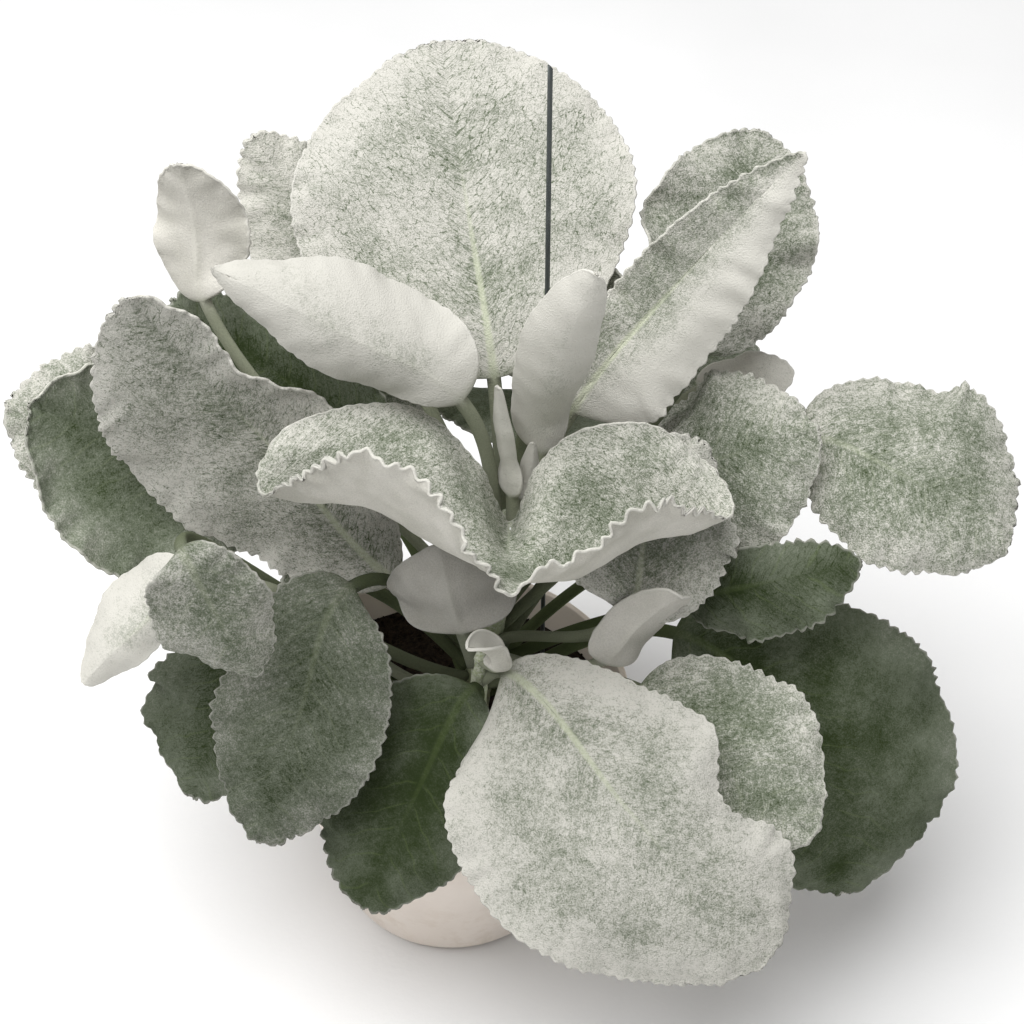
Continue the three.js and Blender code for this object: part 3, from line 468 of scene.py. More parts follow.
# Millimetres and degrees, left and right as seen from the stem. `at` is the height of the leaf's seat on
# its stem and `lift` how steeply it rises there; `base` and `tip` are the ends of the blade's midrib,
# `arch` and `bend` how far its middle stands off a straight line, up and to the right, and `reach` the
# petiole's way into the blade; `face` is the way the upper side looks; `wide` are the half widths, `belly`
# puts the widest place further out, `full` squares the outline and `heart` draws the lower lobes back;
# `cup` and `roll` turn each half up from the midrib and on towards its margin, in pairs from base to tip,
# and the roll is the usual one where none is given;
# `wave` is height, count and starts of the margin's waves; `notches` are side, place, depth and spread of
# bays; `felt` is the cover of felt, about 0 to 1, or one for each half, `net` how far it has cracked, `teeth`
# how strongly the margin is toothed and `dim` how far painted shade darkens the leaf's colour, standing for
# the shade that the leaves round it cast.
LEAVES = [
    dict(
        name="leaf_crown_back", at=262, base=[26, 25, 352], tip=[-1, 150, 468], arch=4,
        face=[0.05, -0.7, 0.72], wide=[86, 84], belly=[1.05, 1.1], full=0.55, cup=[[8, 8]],
        roll=[[-6, -6], [-14, -14]], wave=[3, 2, 0, 2], notches=[[0, 0.93, 0.08, 0.04]], felt=0.745,
        net=1, teeth=0.6, dim=0.06,
    ),
    dict(
        name="leaf_crown_left", at=270, base=[10, -5, 362], tip=[-106, 10, 429], arch=12, bend=2,
        face=[-0.1, -0.75, 0.65], wide=[24, 43], belly=[0.9, 0.8], full=0.78, cup=[[-10, -6]],
        roll=[[-50, -50], [-50, -70]], wave=[1.5, 2, 1, 0], felt=0.95, net=0, teeth=0.35, dim=0.1,
    ),
    # The whiter felt of this leaf's right half and the greyer felt of its left half are partly its own felt
    # and partly painted light and painted shade: the right half is turned up to the light, the left half lies
    # in shade.
    dict(
        name="leaf_crown_right", at=258, base=[65, 13, 341], tip=[172, 44, 471], arch=-6, bend=-3,
        face=[0.1, -0.75, 0.65], wide=[22, 38], belly=[0.95, 0.6], full=0.85, heart=16,
        cup=[[8, 24], [8, 20]], roll=[[0, -50]], wave=[2, 2, 0, 0], felt=[0.42, 1.06], net=0.5, teeth=0.8,
    ),
    dict(
        name="leaf_crown_inner", at=274, base=[50, 3, 324], tip=[73, -27, 452], arch=6, bend=-4,
        face=[0, -0.72, 0.7], wide=[25, 15], belly=[1.0, 1.2], full=0.5, cup=[[-4, -4]],
        roll=[[-50, -50], [-60, -60]], wave=[1, 2, 0, 1], felt=1, net=0, teeth=0.1,
    ),
    dict(
        name="bud_middle", at=278, base=[35, -5, 302], tip=[28, -5, 371], arch=2, face=[-0.5, -0.7, 0.4],
        wide=[9, 5], belly=[0.8, 0.8], cup=[[-10, -10]], roll=[[-70, -70], [-60, -60]],
        wave=[0.5, 2, 0, 1], felt=1, net=0, teeth=0,
    ),
    dict(
        name="bud_right", at=266, base=[42, 0, 295], tip=[46, 1, 331], arch=2, face=[0.2, -0.7, 0.6],
        wide=[5, 5], cup=[[-10, -10]], roll=[[-70, -70], [-60, -60]], wave=[0.5, 2, 0, 1], felt=1, net=0,
        teeth=0,
    ),
    dict(
        name="leaf_right_inner", at=193, base=[92, -52, 265], tip=[127, -4, 336], arch=6, bend=-8,
        face=[0.1, -0.7, 0.7], lift=0.2, wide=[36, 46], belly=[0.7, 0.9], cup=[[10, 6], [0, 0]],
        roll=[[-10, -10], [-30, -30]], wave=[3, 2, 2, 0], felt=0.6, dim=0.16,
    ),
    dict(
        name="leaf_right_mid", at=177, base=[106, 26, 285], tip=[188, 14, 327], arch=10,
        face=[0.15, -0.7, 0.7], wide=[46, 50], cup=[[0, 0]], roll=[[-40, -20]], wave=[3, 2, 2, 0],
        felt=0.48, net=0.45,
    ),
    dict(
        name="leaf_right_far", at=200, base=[183, 34, 304], tip=[283, -24, 282], arch=16,
        face=[0.3, -0.5, 0.8], wide=[66, 46], belly=[1.1, 1.0], full=0.5, cup=[[4, 0], [0, 0]],
        roll=[[-10, -60], [-20, -50]], wave=[3, 2, 1, 1], felt=0.5, net=0.45,
    ),
    dict(
        name="leaf_right_back", at=225, base=[130, 52, 348], tip=[161, 126, 431], arch=4,
        face=[0, -0.72, 0.7], wide=[46, 42], cup=[[10, 10], [5, 5]], roll=[[30, 0], [0, -10]],
        wave=[6, 3, 1, 3], felt=0.5, net=0.6, dim=0.1,
    ),
    dict(
        name="leaf_behind_inner", at=240, base=[58, 56, 313], tip=[79, 68, 395], face=[0, -0.8, 0.6],
        wide=[38, 34], cup=[[10, 10], [5, 5]], roll=[[30, 30]], wave=[1, 2, 0, 0], felt=0.4,
    ),
    dict(
        name="leaf_behind_pale", at=219, base=[133, 64, 312], tip=[180, 60, 328], arch=3,
        face=[0, -0.72, 0.7], wide=[14, 14], cup=[[0, 0]], roll=[[-20, -20]], wave=[2, 2, 0, 0], felt=0.9,
        net=0, teeth=0.3,
    ),
    dict(
        name="leaf_left_back_turned", at=205, base=[-119, 60, 374], tip=[-126, 72, 446], arch=5,
        face=[0.2, 0.8, 0.3], wide=[26, 24], belly=[0.95, 0.95], cup=[[5, 5]], roll=[[10, 10], [20, 20]],
        wave=[2, 2, 0, 0], felt=0.85, net=0, teeth=0.45,
    ),
    dict(
        name="leaf_left_back", at=238, base=[-15, 106, 279], tip=[-101, 160, 407], arch=5,
        face=[0, -0.72, 0.7], wide=[38, 36], belly=[1.1, 1.1], cup=[[5, 5]], wave=[3, 2, 0, 1], felt=0.72,
        net=0.6,
    ),
    dict(
        name="leaf_left_shaded", at=212, base=[-30, 70, 263], tip=[-140, 84, 356], arch=6,
        face=[0, -0.72, 0.7], wide=[38, 30], cup=[[5, 5]], wave=[3, 2, 0, 1], felt=0.12,
    ),
    dict(
        name="leaf_left_great", at=205, base=[-26, -7, 244], tip=[-142, -13, 429], arch=-8,
        face=[-0.1, -0.72, 0.68], wide=[64, 38], belly=[1.2, 1.0], cup=[[0, 6], [0, 18]],
        roll=[[-20, 10], [-30, 20]], wave=[4, 3, 0, 1], notches=[[1, 0.72, 0.42, 0.16]], felt=0.68,
        net=0.8, dim=0.1,
    ),
    dict(
        name="leaf_left_green", at=190, base=[-83, 14, 274], tip=[-201, 4, 352], arch=-8,
        face=[-0.1, -0.7, 0.7], wide=[64, 50], belly=[1.1, 1.1], cup=[[5, 5], [8, 8]],
        roll=[[10, 10], [20, 20]], wave=[3, 2, 0, 1], felt=0.24, net=0.25,
    ),
    dict(
        name="leaf_left_outer", at=183, base=[-119, 42, 297], tip=[-222, 34, 323], arch=6,
        face=[-0.1, -0.7, 0.7], wide=[50, 40], belly=[1.1, 1.1], cup=[[0, 0]], wave=[3, 3, 0, 1],
        felt=0.55,
    ),
    dict(
        name="leaf_left_pointed", at=150, base=[-118, -58, 289], tip=[-177, -76, 239], arch=8,
        face=[-0.2, -0.6, 0.75], lift=-0.35, wide=[14, 34], belly=[0.85, 0.85], cup=[[-30, -10]],
        roll=[[-30, -30]], wave=[1, 2, 0, 1], felt=0.9, net=0, teeth=0.3,
    ),
    dict(
        name="leaf_left_lobed", at=165, base=[-117, -86, 338], tip=[-86, -100, 270], arch=8,
        face=[-0.1, -0.75, 0.65], lift=-0.3, reach=[0.3, -0.9, 0.3], wide=[26, 34],
        cup=[[-6, -6], [-15, -15]], roll=[[-10, -10], [-30, -30]], wave=[2, 2, 2, 1], felt=0.44, net=0.1,
        teeth=0.7, dim=0.2,
    ),
    dict(
        name="leaf_left_low", at=140, base=[-97, -32, 225], tip=[-131, -72, 148], arch=10,
        face=[-0.2, -0.6, 0.75], lift=-0.2, wide=[34, 46], cup=[[0, 0]], roll=[[-20, -20]],
        wave=[3, 3, 0, 1], felt=0.12, dim=0.24,
    ),
    dict(
        name="leaf_left_small", at=170, base=[-50, -2, 240], tip=[-84, -8, 250], arch=2,
        face=[0, -0.72, 0.7], wide=[10, 10], cup=[[0, 0]], wave=[1, 2, 0, 1], felt=0.3,
    ),
    dict(
        name="leaf_front_left", at=180, base=[-45, -42, 272], tip=[-93, -115, 164], arch=14,
        face=[-0.1, -0.7, 0.7], lift=0.35, wide=[43, 43], belly=[0.95, 0.95], cup=[[5, 5], [0, 0]],
        wave=[3, 2, 0, 1], felt=0.3, net=0.25, dim=0.4,
    ),
    dict(
        name="leaf_front_green", stem="front", at=182, base=[15, -63, 221], tip=[-42, -125, 123], arch=10,
        face=[-0.1, -0.6, 0.75], wide=[38, 54], belly=[1.05, 1.05], cup=[[0, 0]], wave=[3, 2, 0, 1],
        felt=0.02, net=0.05, dim=0.28,
    ),
    dict(
        name="leaf_front_great", stem="front", at=218, base=[32, -64, 235], tip=[156, -190, 162], arch=26,
        face=[0.1, -0.75, 0.65], wide=[66, 82], belly=[1.4, 0.85], cup=[[6, 6], [0, 0]],
        roll=[[-20, -16], [-30, -20]], wave=[3, 2, 2, 0], notches=[[0, 0.64, 0.42, 0.13]], felt=0.75,
        net=0.35, teeth=0.7, dim=0.16,
    ),
    dict(
        name="leaf_front_right", at=160, base=[100, -60, 217], tip=[183, -132, 189], arch=12,
        face=[0.1, -0.72, 0.7], wide=[50, 44], belly=[1.0, 1.1], cup=[[0, 0]], wave=[3, 2, 0, 1],
        felt=0.45, net=0.3,
    ),
    dict(
        name="leaf_right_green", at=150, base=[121, -12, 210], tip=[211, -88, 85], arch=30, bend=-20,
        face=[0.15, -0.7, 0.7], wide=[84, 74], belly=[1.15, 1.0], cup=[[6, 6], [0, 0]], wave=[5, 3, 0, 1],
        felt=0.1, net=0.1, dim=0.16,
    ),
    dict(
        name="leaf_right_dark", at=170, base=[123, -22, 244], tip=[208, -36, 285], arch=8,
        face=[0.1, -0.7, 0.7], wide=[18, 28], cup=[[0, 0]], wave=[4, 3, 0, 1], felt=0.08, dim=0.24,
    ),
    dict(
        name="leaf_right_young", at=185, base=[81, -60, 239], tip=[117, -68, 291], arch=4,
        face=[0.2, 0.8, 0.5], lift=-0.2, wide=[17, 15], belly=[0.8, 0.8], full=0.4, cup=[[5, 5]],
        roll=[[40, 40]], wave=[0.5, 2, 0, 1], felt=0.9, net=0, teeth=0.1, dim=0.2,
    ),
    dict(
        name="leaf_front_cupped", stem="front", at=226, base=[10, -54, 254], tip=[0, -44, 303], arch=-6,
        face=[0, 0.97, 0.2], wide=[40, 40], belly=[0.85, 0.85], cup=[[10, 10]], roll=[[40, 40]],
        wave=[1, 2, 0, 1], felt=0.9, net=0, teeth=0.15, dim=0.48,
    ),
    dict(
        name="leaf_front_bud", stem="front", at=232, base=[27, -68, 242], tip=[13, -77, 264], arch=4,
        face=[0.1, 0.1, 1], wide=[11, 11], cup=[[10, 10], [20, 20]], roll=[[120, 120], [30, 30]],
        wave=[0.2, 2, 0, 1], felt=1, net=0, teeth=0,
    ),
    dict(
        name="leaf_far_right_high", at=209, base=[117, 60, 289], tip=[160, 150, 287], arch=14,
        face=[0.3, 0.1, 0.9], wide=[38, 40], cup=[[8, 8], [4, 4]], wave=[5, 2, 0, 1], felt=0.4,
    ),
    dict(
        name="leaf_far_right_low", at=165, base=[99, 50, 207], tip=[186, 112, 122], arch=22,
        face=[0.5, 0.35, 0.8], wide=[60, 64], cup=[[6, 6], [0, 0]], wave=[5, 2, 2, 1], felt=0.2,
    ),
    dict(
        name="leaf_far_back_high", at=210, base=[45, 120, 275], tip=[45, 235, 273], arch=14,
        face=[0, 0.1, 0.95], wide=[46, 44], cup=[[8, 8], [4, 4]], wave=[5, 2, 1, 1], felt=0.45,
    ),
    dict(
        name="leaf_far_back_low", at=160, base=[43, 100, 240], tip=[52, 215, 168], arch=24,
        face=[0.1, 0.6, 0.8], wide=[74, 62], cup=[[6, 6], [0, 0]], wave=[5, 2, 3, 1], felt=0.15,
    ),
    dict(
        name="leaf_far_left_high", at=197, base=[-28, 96, 252], tip=[-77, 186, 268], arch=12,
        face=[-0.2, 0.1, 0.95], wide=[50, 52], cup=[[8, 8], [4, 4]], wave=[5, 2, 2, 0], felt=0.4,
    ),
    dict(
        name="leaf_far_left_low", at=148, base=[-35, 75, 220], tip=[-115, 150, 140], arch=20,
        face=[-0.5, 0.5, 0.8], wide=[56, 54], cup=[[6, 6], [0, 0]], wave=[5, 2, 1, 3], felt=0.2,
    ),
    dict(
        name="leaf_far_left_side", at=174, base=[-75, 45, 245], tip=[-185, 75, 195], arch=20,
        face=[-0.4, 0.2, 0.9], wide=[50, 50], cup=[[6, 6], [0, 0]], wave=[5, 2, 0, 2], felt=0.3,
    ),
]


def unit(vectors):
    return vectors / np.linalg.norm(vectors, axis=-1, keepdims=True)


def smooth(values):
    values = np.clip(values, 0, 1)
    return values * values * (3 - 2 * values)


def seat(stem, height):
    """The spot on a stem's axis at a height, and how far up the stem that is, 0 to 1."""
    foot, top = np.array(stem["foot"], float), np.array(stem["top"], float)
    share = (height - foot[2]) / (top[2] - foot[2])
    return foot + (top - foot) * share, share


def midrib(leaf):
    """The petiole and midrib as three smooth stretches: their ends, lengths and directions, and the right."""
    stem = STEMS[leaf.get("stem", "main")]
    base, tip, face = (np.array(leaf[key], float) for key in ("base", "tip", "face"))
    chord = unit(tip - base)
    right = unit(np.cross(chord, face))
    up = np.cross(right, chord)
    middle = (base + tip) / 2 + up * leaf.get("arch", 0) + right * leaf.get("bend", 0)
    heart, share = seat(stem, leaf["at"])
    radius = stem["radius"][0] + (stem["radius"][1] - stem["radius"][0]) * share
    root = heart + unit((base - heart) * (1, 1, 0)) * (radius - 1)
    ends = np.array([root, base, middle, tip])
    runs = np.diff(ends, axis=0)
    along = unit(runs)
    ways = [unit(along[0] + (0, 0, leaf.get("lift", 0.35)))]
    ways.append(unit(np.array(leaf.get("reach", along[0] + along[1]), float)))
    ways.append(unit(along[1] + along[2]))
    ways.append(unit(2 * along[2] - ways[2]))
    return ends, np.linalg.norm(runs, axis=1), np.array(ways), unit(np.cross(ways[1], face))


def along_midrib(rib, u):
    """Places on the midrib and its directions there, u running 0 to 3 over the three stretches."""
    ends, lengths, ways, _ = rib
    i = np.minimum(2, u.astype(int))
    t = (u - i)[:, None]
    p, q = ends[i], ends[i + 1]
    m, n = ways[i] * lengths[i][:, None], ways[i + 1] * lengths[i][:, None]
    place = (2 * t**3 - 3 * t**2 + 1) * p + (t**3 - 2 * t**2 + t) * m
    place = place + (3 * t**2 - 2 * t**3) * q + (t**3 - t**2) * n
    way = (6 * t**2 - 6 * t) * (p - q) + (3 * t**2 - 4 * t + 1) * m + (3 * t**2 - 2 * t) * n
    return place, unit(way)


def read_pairs(pairs, side, b):
    """One side's value at b, from pairs that stand evenly spaced from the blade's base to its tip."""
    values = np.array([pair[side] for pair in pairs] * (2 if len(pairs) == 1 else 1), float)
    x = np.clip(b, 0, 1) * (len(values) - 1)
    i = np.minimum(len(values) - 2, x.astype(int))
    return values[i] + (values[i + 1] - values[i]) * smooth(x - i)


def half_blade(leaf, rib, u, out, side):
    """One half of the blade's middle sheet, rows from root to tip by columns from midrib to margin."""
    b = (u - 1) / 2
    place, way = along_midrib(rib, u)
    sideways = np.where(
        (u < 1)[:, None],
        unit(rib[3] - way * (way @ rib[3])[:, None]),
        unit(np.cross(way, np.array(leaf["face"], float))),
    )
    up = np.cross(sideways, way)
    grown = smooth(b * 4)
    inside = np.clip(b, 1e-6, 1 - 1e-6)
    swell = np.sin(np.pi * inside ** leaf.get("belly", [1, 1])[side]) ** leaf.get("full", 0.6)
    swell = np.where((b <= 0) | (b >= 1), 0, swell)
    for where_side, where, depth, spread in leaf.get("notches", []):
        if where_side == side:
            swell = swell * (1 - depth * np.exp(-(((b - where) / spread) ** 2)))
    least = LEAST_HALF_WIDTH * (1 - smooth((b - 0.97) / 0.03))
    stalk = np.maximum(PETIOLE_HALF_WIDTH * (1 - smooth(b * 2)), least)
    width = stalk + leaf["wide"][side] * swell
    rise = np.radians(read_pairs(leaf["cup"], side, b)) * grown
    turn = np.radians(read_pairs(leaf.get("roll", USUAL_ROLL), side, b)) * grown + 1e-6
    rise, turn, width_ = rise[:, None], turn[:, None], width[:, None]
    end = rise + turn * out
    hand = 1 if side else -1
    across = width_ / turn * (np.sin(end) - np.sin(rise))
    height = width_ / turn * (np.cos(rise) - np.cos(end))
    amount, waves, *starts = leaf["wave"]
    swing = np.sin(2 * np.pi * waves * b + starts[side]) * np.sin(np.pi * np.maximum(0, b))
    back = leaf.get("heart", 0) * (out * width_ / leaf["wide"][side]) ** 2 * ((1 - b) ** 2 * grown)[:, None]
    normal = up[:, None] * np.cos(end)[..., None] - sideways[:, None] * (hand * np.sin(end))[..., None]
    points = place[:, None] + sideways[:, None] * (hand * across)[..., None]
    points = points + up[:, None] * height[..., None] - way[:, None] * back[..., None]
    points = points + normal * (amount * out**2 * swing[:, None])[..., None]
    return points, hand * width_ * out


def crowded(count, evenness):
    """Steps from 0 to 1 that crowd towards both ends, the less so the higher their evenness is."""
    even = np.linspace(0, 1, count)
    return evenness * even + (1 - evenness) * (1 - np.cos(np.pi * even)) / 2


def measured(points, axis=0):
    """How far each point lies from the first one of its row or column, measured along it."""
    steps = np.linalg.norm(np.diff(points, axis=axis), axis=-1)
    return np.concatenate([np.take(steps, [0], axis) * 0, np.cumsum(steps, axis=axis)], axis=axis)


def margin_of(rows, inner, beyond):
    """A margin line's own fields: its places, the run along it from the tip, and its outward directions."""
    ahead = unit(np.gradient(rows, axis=0) + 1e-9)
    outward = rows - inner
    outward = outward - ahead * np.sum(outward * ahead, axis=-1, keepdims=True)
    outward = unit(outward + beyond * 1e-4)
    run = measured(rows)
    return rows, run[-1] - run, outward


def by_margin(points, spots):
    """Fields of points: how far off the nearest spot of the margin is, and its own run and direction."""
    margin = np.full(points.shape[:2], 1e9)
    run, outward = np.zeros(points.shape[:2]), np.zeros(points.shape)
    for spot, spot_run, spot_out, allowed in spots:
        apart = np.linalg.norm(points - spot, axis=-1)
        closer = (apart < margin) & allowed
        margin = np.where(closer, apart, margin)
        run = np.where(closer, spot_run, run)
        outward = np.where(closer[..., None], spot_out, outward)
    return {"margin": margin * 0.001, "run": run * 0.001, "outward": outward}


STALK_STEP, BLADE_STEP, COLUMN_STEP, ROWS_TO_LOOK, TIP_ROWS = 5, 1.05, 3.4, 25, 12
FEWEST_ROWS, MOST_ROWS, FEWEST_COLUMNS, MOST_COLUMNS = 26, 190, 9, 26


def leaf_sheet(leaf):
    """The leaf's middle sheet as a grid of points in millimetres, with the fields that its skin follows."""
    rib = midrib(leaf)
    stalk_rows = max(6, round(rib[1][0] / STALK_STEP))
    blade_length = rib[1][1] + rib[1][2]
    blade_rows = int(np.clip(round(blade_length / BLADE_STEP), FEWEST_ROWS, MOST_ROWS))
    blade_steps = 1 + 2 * crowded(blade_rows + 1, 0.15)
    u = np.concatenate([[0], np.linspace(0, 1, stalk_rows + 1)[:-1], blade_steps])
    columns = round(max(leaf["wide"]) / COLUMN_STEP) + 5
    columns = int(np.clip(columns, FEWEST_COLUMNS, MOST_COLUMNS))
    out = crowded(columns + 1, 0)
    left, left_across = half_blade(leaf, rib, u, out, 0)
    right, right_across = half_blade(leaf, rib, u, out, 1)
    points = np.concatenate([left[:, :0:-1], right], axis=1)
    across = np.concatenate([left_across[:, :0:-1], right_across], axis=1)
    t = np.concatenate([-out[:0:-1], out])
    along = measured(points[:, columns])
    along = along - along[stalk_rows + 1]
    blade = (u - 1) / 2
    tipward = unit(points[-1, columns] - points[-4, columns])
    edges = [margin_of(points[:, 0], points[:, 1], tipward), margin_of(points[:, -1], points[:, -2], tipward)]
    row = np.arange(len(u))
    spots = []
    for side, edge in enumerate(edges):
        near = t <= 0 if side == 0 else t >= 0
        for shift in range(-ROWS_TO_LOOK, ROWS_TO_LOOK + 1):
            other = np.clip(row + shift, 0, len(u) - 1)
            allowed = near[None] | (other[:, None] > len(u) - TIP_ROWS)
            spots.append([*(values[other][:, None] for values in edge), allowed])
    # A leaf may have one felt for each half. Where the two differ, the difference is partly the leaf's own
    # felt and partly painted light and shade.
    left_felt_and_light, right_felt_and_light = leaf["felt"] if isinstance(leaf["felt"], list) else [leaf["felt"]] * 2
    ends = (row == 0)[:, None]
    section = np.where(ends, 0, np.sqrt(np.clip(1 - t**2, 0, 1))[None])
    spread = np.ones_like(across)
    fields = {
        "across": across * 0.001,
        "along": along[:, None] * spread * 0.001,
        "reach": blade[:, None] * spread,
        **by_margin(points, spots),
        "section": section * spread,
        "rib": np.clip(1 - np.maximum(0, blade), 0, 1)[:, None] * spread,
        "felt": (left_felt_and_light + (right_felt_and_light - left_felt_and_light) * smooth(t / 2 + 0.5)) * spread,
        "net": leaf.get("net", 0.35) * spread,
        "tooth": leaf.get("teeth", 1.0) * spread,
        "dim": leaf.get("dim", 0.0) * spread,
    }
    return points, fields


def sheet_mesh(name, points, fields):
    """A mesh from a grid of points, each field as an attribute of its points."""
    rows, columns = points.shape[:2]
    corner = np.arange(rows * columns).reshape(rows, columns)[:-1, :-1].ravel()
    faces = np.stack([corner, corner + 1, corner + columns + 1, corner + columns], axis=1)
    mesh = bpy.data.meshes.new(name)
    mesh.from_pydata((points.reshape(-1, 3) * 0.001).tolist(), [], faces.tolist())
    for field, values in fields.items():
        vector = values.ndim == 3
        layer = mesh.attributes.new(field, "FLOAT_VECTOR" if vector else "FLOAT", "POINT")
        layer.data.foreach_set("vector" if vector else "value", values.astype(np.float32).ravel())
    return mesh


# The margin is toothed over its last 5 mm, ruffled over 22 mm and rounded over 0.8 mm.
TOOTHED_BAND, RUFFLED_BAND, ROUNDED_BAND, RUFFLE_TURNS = 0.005, 0.022, 0.0008, 240.0
PILLOW_HEIGHT, RIB_HALF_WIDTH, SEAM = 0.00012, 0.0034, 0.000002

felting, given = new_growth("felted leaf", [
    "Tooth Pitch", "Tooth Depth", "Tooth Curl", "Ruffle", "Unevenness", "Half Thickness", "Woolly Rim",
    "Petiole Half Thickness", "Rib Depth", "Vein Pitch",
])


def field_of(tree, name, kind="FLOAT"):
    return Field.node(tree, "GeometryNodeInputNamedAttribute", {"data_type": kind}, {"Name": name})


margin, run, reach, across, along, section, rib, tooth = (
    field_of(felting, name)
    for name in ("margin", "run", "reach", "across", "along", "section", "rib", "tooth")
)
place = Field.node(felting, "GeometryNodeInputPosition", {}, {})
upward = Field.node(felting, "GeometryNodeInputNormal", {}, {})
grown = reach.step(0.0, 0.16)
wander = grain(felting, place + (0.3, 0.1, 0.7), 24, 1.0)
vigour = grain(felting, place, 60, 1.0).step(0.3, 0.7) * 0.9 + 0.25
phase = run * 2 * math.pi / given["Tooth Pitch"] + wander * 18.0
scallop = phase.apply("COSINE", phase) * 0.5
toothed = margin.step(TOOTHED_BAND, 0.0) * vigour * grown * tooth
cut = field_of(felting, "outward", "FLOAT_VECTOR") * (scallop * toothed * given["Tooth Depth"])
swing = run * RUFFLE_TURNS + wander * 16.0
ruffle = swing.apply("SINE", swing) * margin.step(RUFFLED_BAND, 0.0) * grown * tooth * given["Ruffle"]
veins = (along - abs(across) * 0.75) * (2 * math.pi) / given["Vein Pitch"] + wander * 6.0
pillows = veins.apply("COSINE", veins) * abs(across).step(0.001, 0.012) * grown * PILLOW_HEIGHT
swell = (grain(felting, place, 27, 2.0) - 0.5) * 2.0 * given["Unevenness"] * grown
lift = scallop * toothed * given["Tooth Curl"] + ruffle + pillows + swell
shaped = moved(felting, given["Geometry"], cut + upward * lift)
fresh = Field.node(felting, "GeometryNodeInputNormal", {}, {})
flat = reach.step(0.0, 0.34)
edge = margin.apply("MINIMUM", margin / ROUNDED_BAND, 1.0)
rounded = (1 - (1 - edge) * (1 - edge)) ** 0.5
bead = margin.step(0.0, 0.0006) * margin.step(0.003, 0.001) * given["Woolly Rim"]
skin_half = (given["Half Thickness"] + bead) * rounded
stalk_half = section * given["Petiole Half Thickness"]
top_half = stalk_half + flat * (skin_half - stalk_half)
ridge = abs(across).step(RIB_HALF_WIDTH, 0.0) * rib * given["Rib Depth"] * rounded
low_half = stalk_half + flat * (skin_half + ridge - stalk_half)
upper = moved(felting, shaped, fresh * top_half)
flipped = Field.node(felting, "GeometryNodeFlipFaces", {}, {"Mesh": shaped})
lower = moved(felting, flipped, fresh * low_half)
sides = []
for half, value in ((upper, 0.0), (lower, 1.0)):
    sides.append(Field.node(
        felting, "GeometryNodeStoreNamedAttribute", {"data_type": "FLOAT", "domain": "POINT"},
        {"Geometry": half, "Name": "under", "Value": value},
    ))
whole = Field.node(felting, "GeometryNodeJoinGeometry", {}, {"Geometry": sides})
whole = Field.node(felting, "GeometryNodeMergeByDistance", {}, {"Geometry": whole, "Distance": SEAM})
whole = Field.node(felting, "GeometryNodeSetShadeSmooth", {}, {"Geometry": whole})
close_growth(felting, whole, given["Material"])

# The felt: matted white hairs that have parted into a net of fine cracks over the green. Near the midrib
# the hairs lie in streaks along the side veins, further out the net is even. The rim and the underside
# stay woolly and pale. `cover` is how thick the felt lies at a spot, and thin felt lets the green through.
# The sizes are in cells, clouds or streaks to the metre, and in metres.
NET_CELLS, HAIR_CELLS, NET_BENDS, NET_BENT_BY = 235.0, 620.0, 330.0, 0.0055
PATCHES, PARTINGS, TUFTS, STREAKS, HAIRS = 32, 130, 330, 720, 1250
VEIN_PITCH, FELT_RELIEF = 0.0155, 0.0008
felt, tree, spot = new_finish("white leaf felt")
margin, reach, across, along, wool, net, dim, under = (
    Field.node(tree, "ShaderNodeAttribute", {"attribute_name": name}, {}, output="Fac")
    for name in ("margin", "reach", "across", "along", "felt", "net", "dim", "under")
)
aside = abs(across)
vein_line = along - aside * 0.75 - aside * aside * 2.0
outwards = aside * aside / (aside + 0.02)
flank = across.apply("SIGN", across) * 0.5
blade_place = Field.node(tree, "ShaderNodeCombineXYZ", {}, {"X": vein_line + wool, "Y": outwards + flank})
warp = Field.node(
    tree, "ShaderNodeTexNoise", {}, {"Vector": blade_place, "Scale": NET_BENDS, "Detail": 1.0},
    output="Color",
)
net_place = blade_place + (warp - (0.5, 0.5, 0.5)) * NET_BENT_BY
flat_cells = {"feature": "DISTANCE_TO_EDGE", "voronoi_dimensions": "2D"}
wide_net, fine_net = (
    Field.node(tree, "ShaderNodeTexVoronoi", flat_cells, {"Vector": net_place, "Scale": cells})
    for cells in (NET_CELLS, HAIR_CELLS)
)
patches = grain(tree, spot, PATCHES, 2.0, 0.6)
parted = grain(tree, spot, PARTINGS, 1.0)
streaks = grain(tree, net_place * (1.0, 0.4, 1.0), STREAKS, 1.0, 0.6)
mottle = grain(tree, spot, HAIRS, 1.0, 0.7)
tufts = grain(tree, spot, TUFTS, 1.0, 0.6)

cracks = wide_net.step(0.07, 0.0) * (0.1 + parted.step(0.35, 0.6) * 0.9)
hair_cracks = fine_net.step(0.14, 0.0) * parted.step(0.7, 0.4)
crack_depth = (cracks + hair_cracks * 0.55) * net
near_rib = aside.step(0.05, 0.004) * reach.step(1.1, 0.2)
cover = wool + (patches - 0.5) * 0.7 + margin.step(0.03, 0.002) * 0.18 - aside.step(0.02, 0.0) * 0.08
texture = (mottle - 0.5) * 1.05 + (tufts - 0.5) * 0.6 + (streaks - 0.5) * (0.1 + near_rib * 0.5)
shaggy = 0.35 + wool.step(1.3, 0.5) * wool.step(0.0, 0.5) * 0.65
cover = cover + texture * shaggy - crack_depth * 0.5 + net * 0.06
thin = cover.step(-0.15, 0.45).mix(tint(50, 62, 33), tint(114, 121, 104))
coloured = cover.step(0.3, 1.05).mix(thin, tint(202, 200, 192))

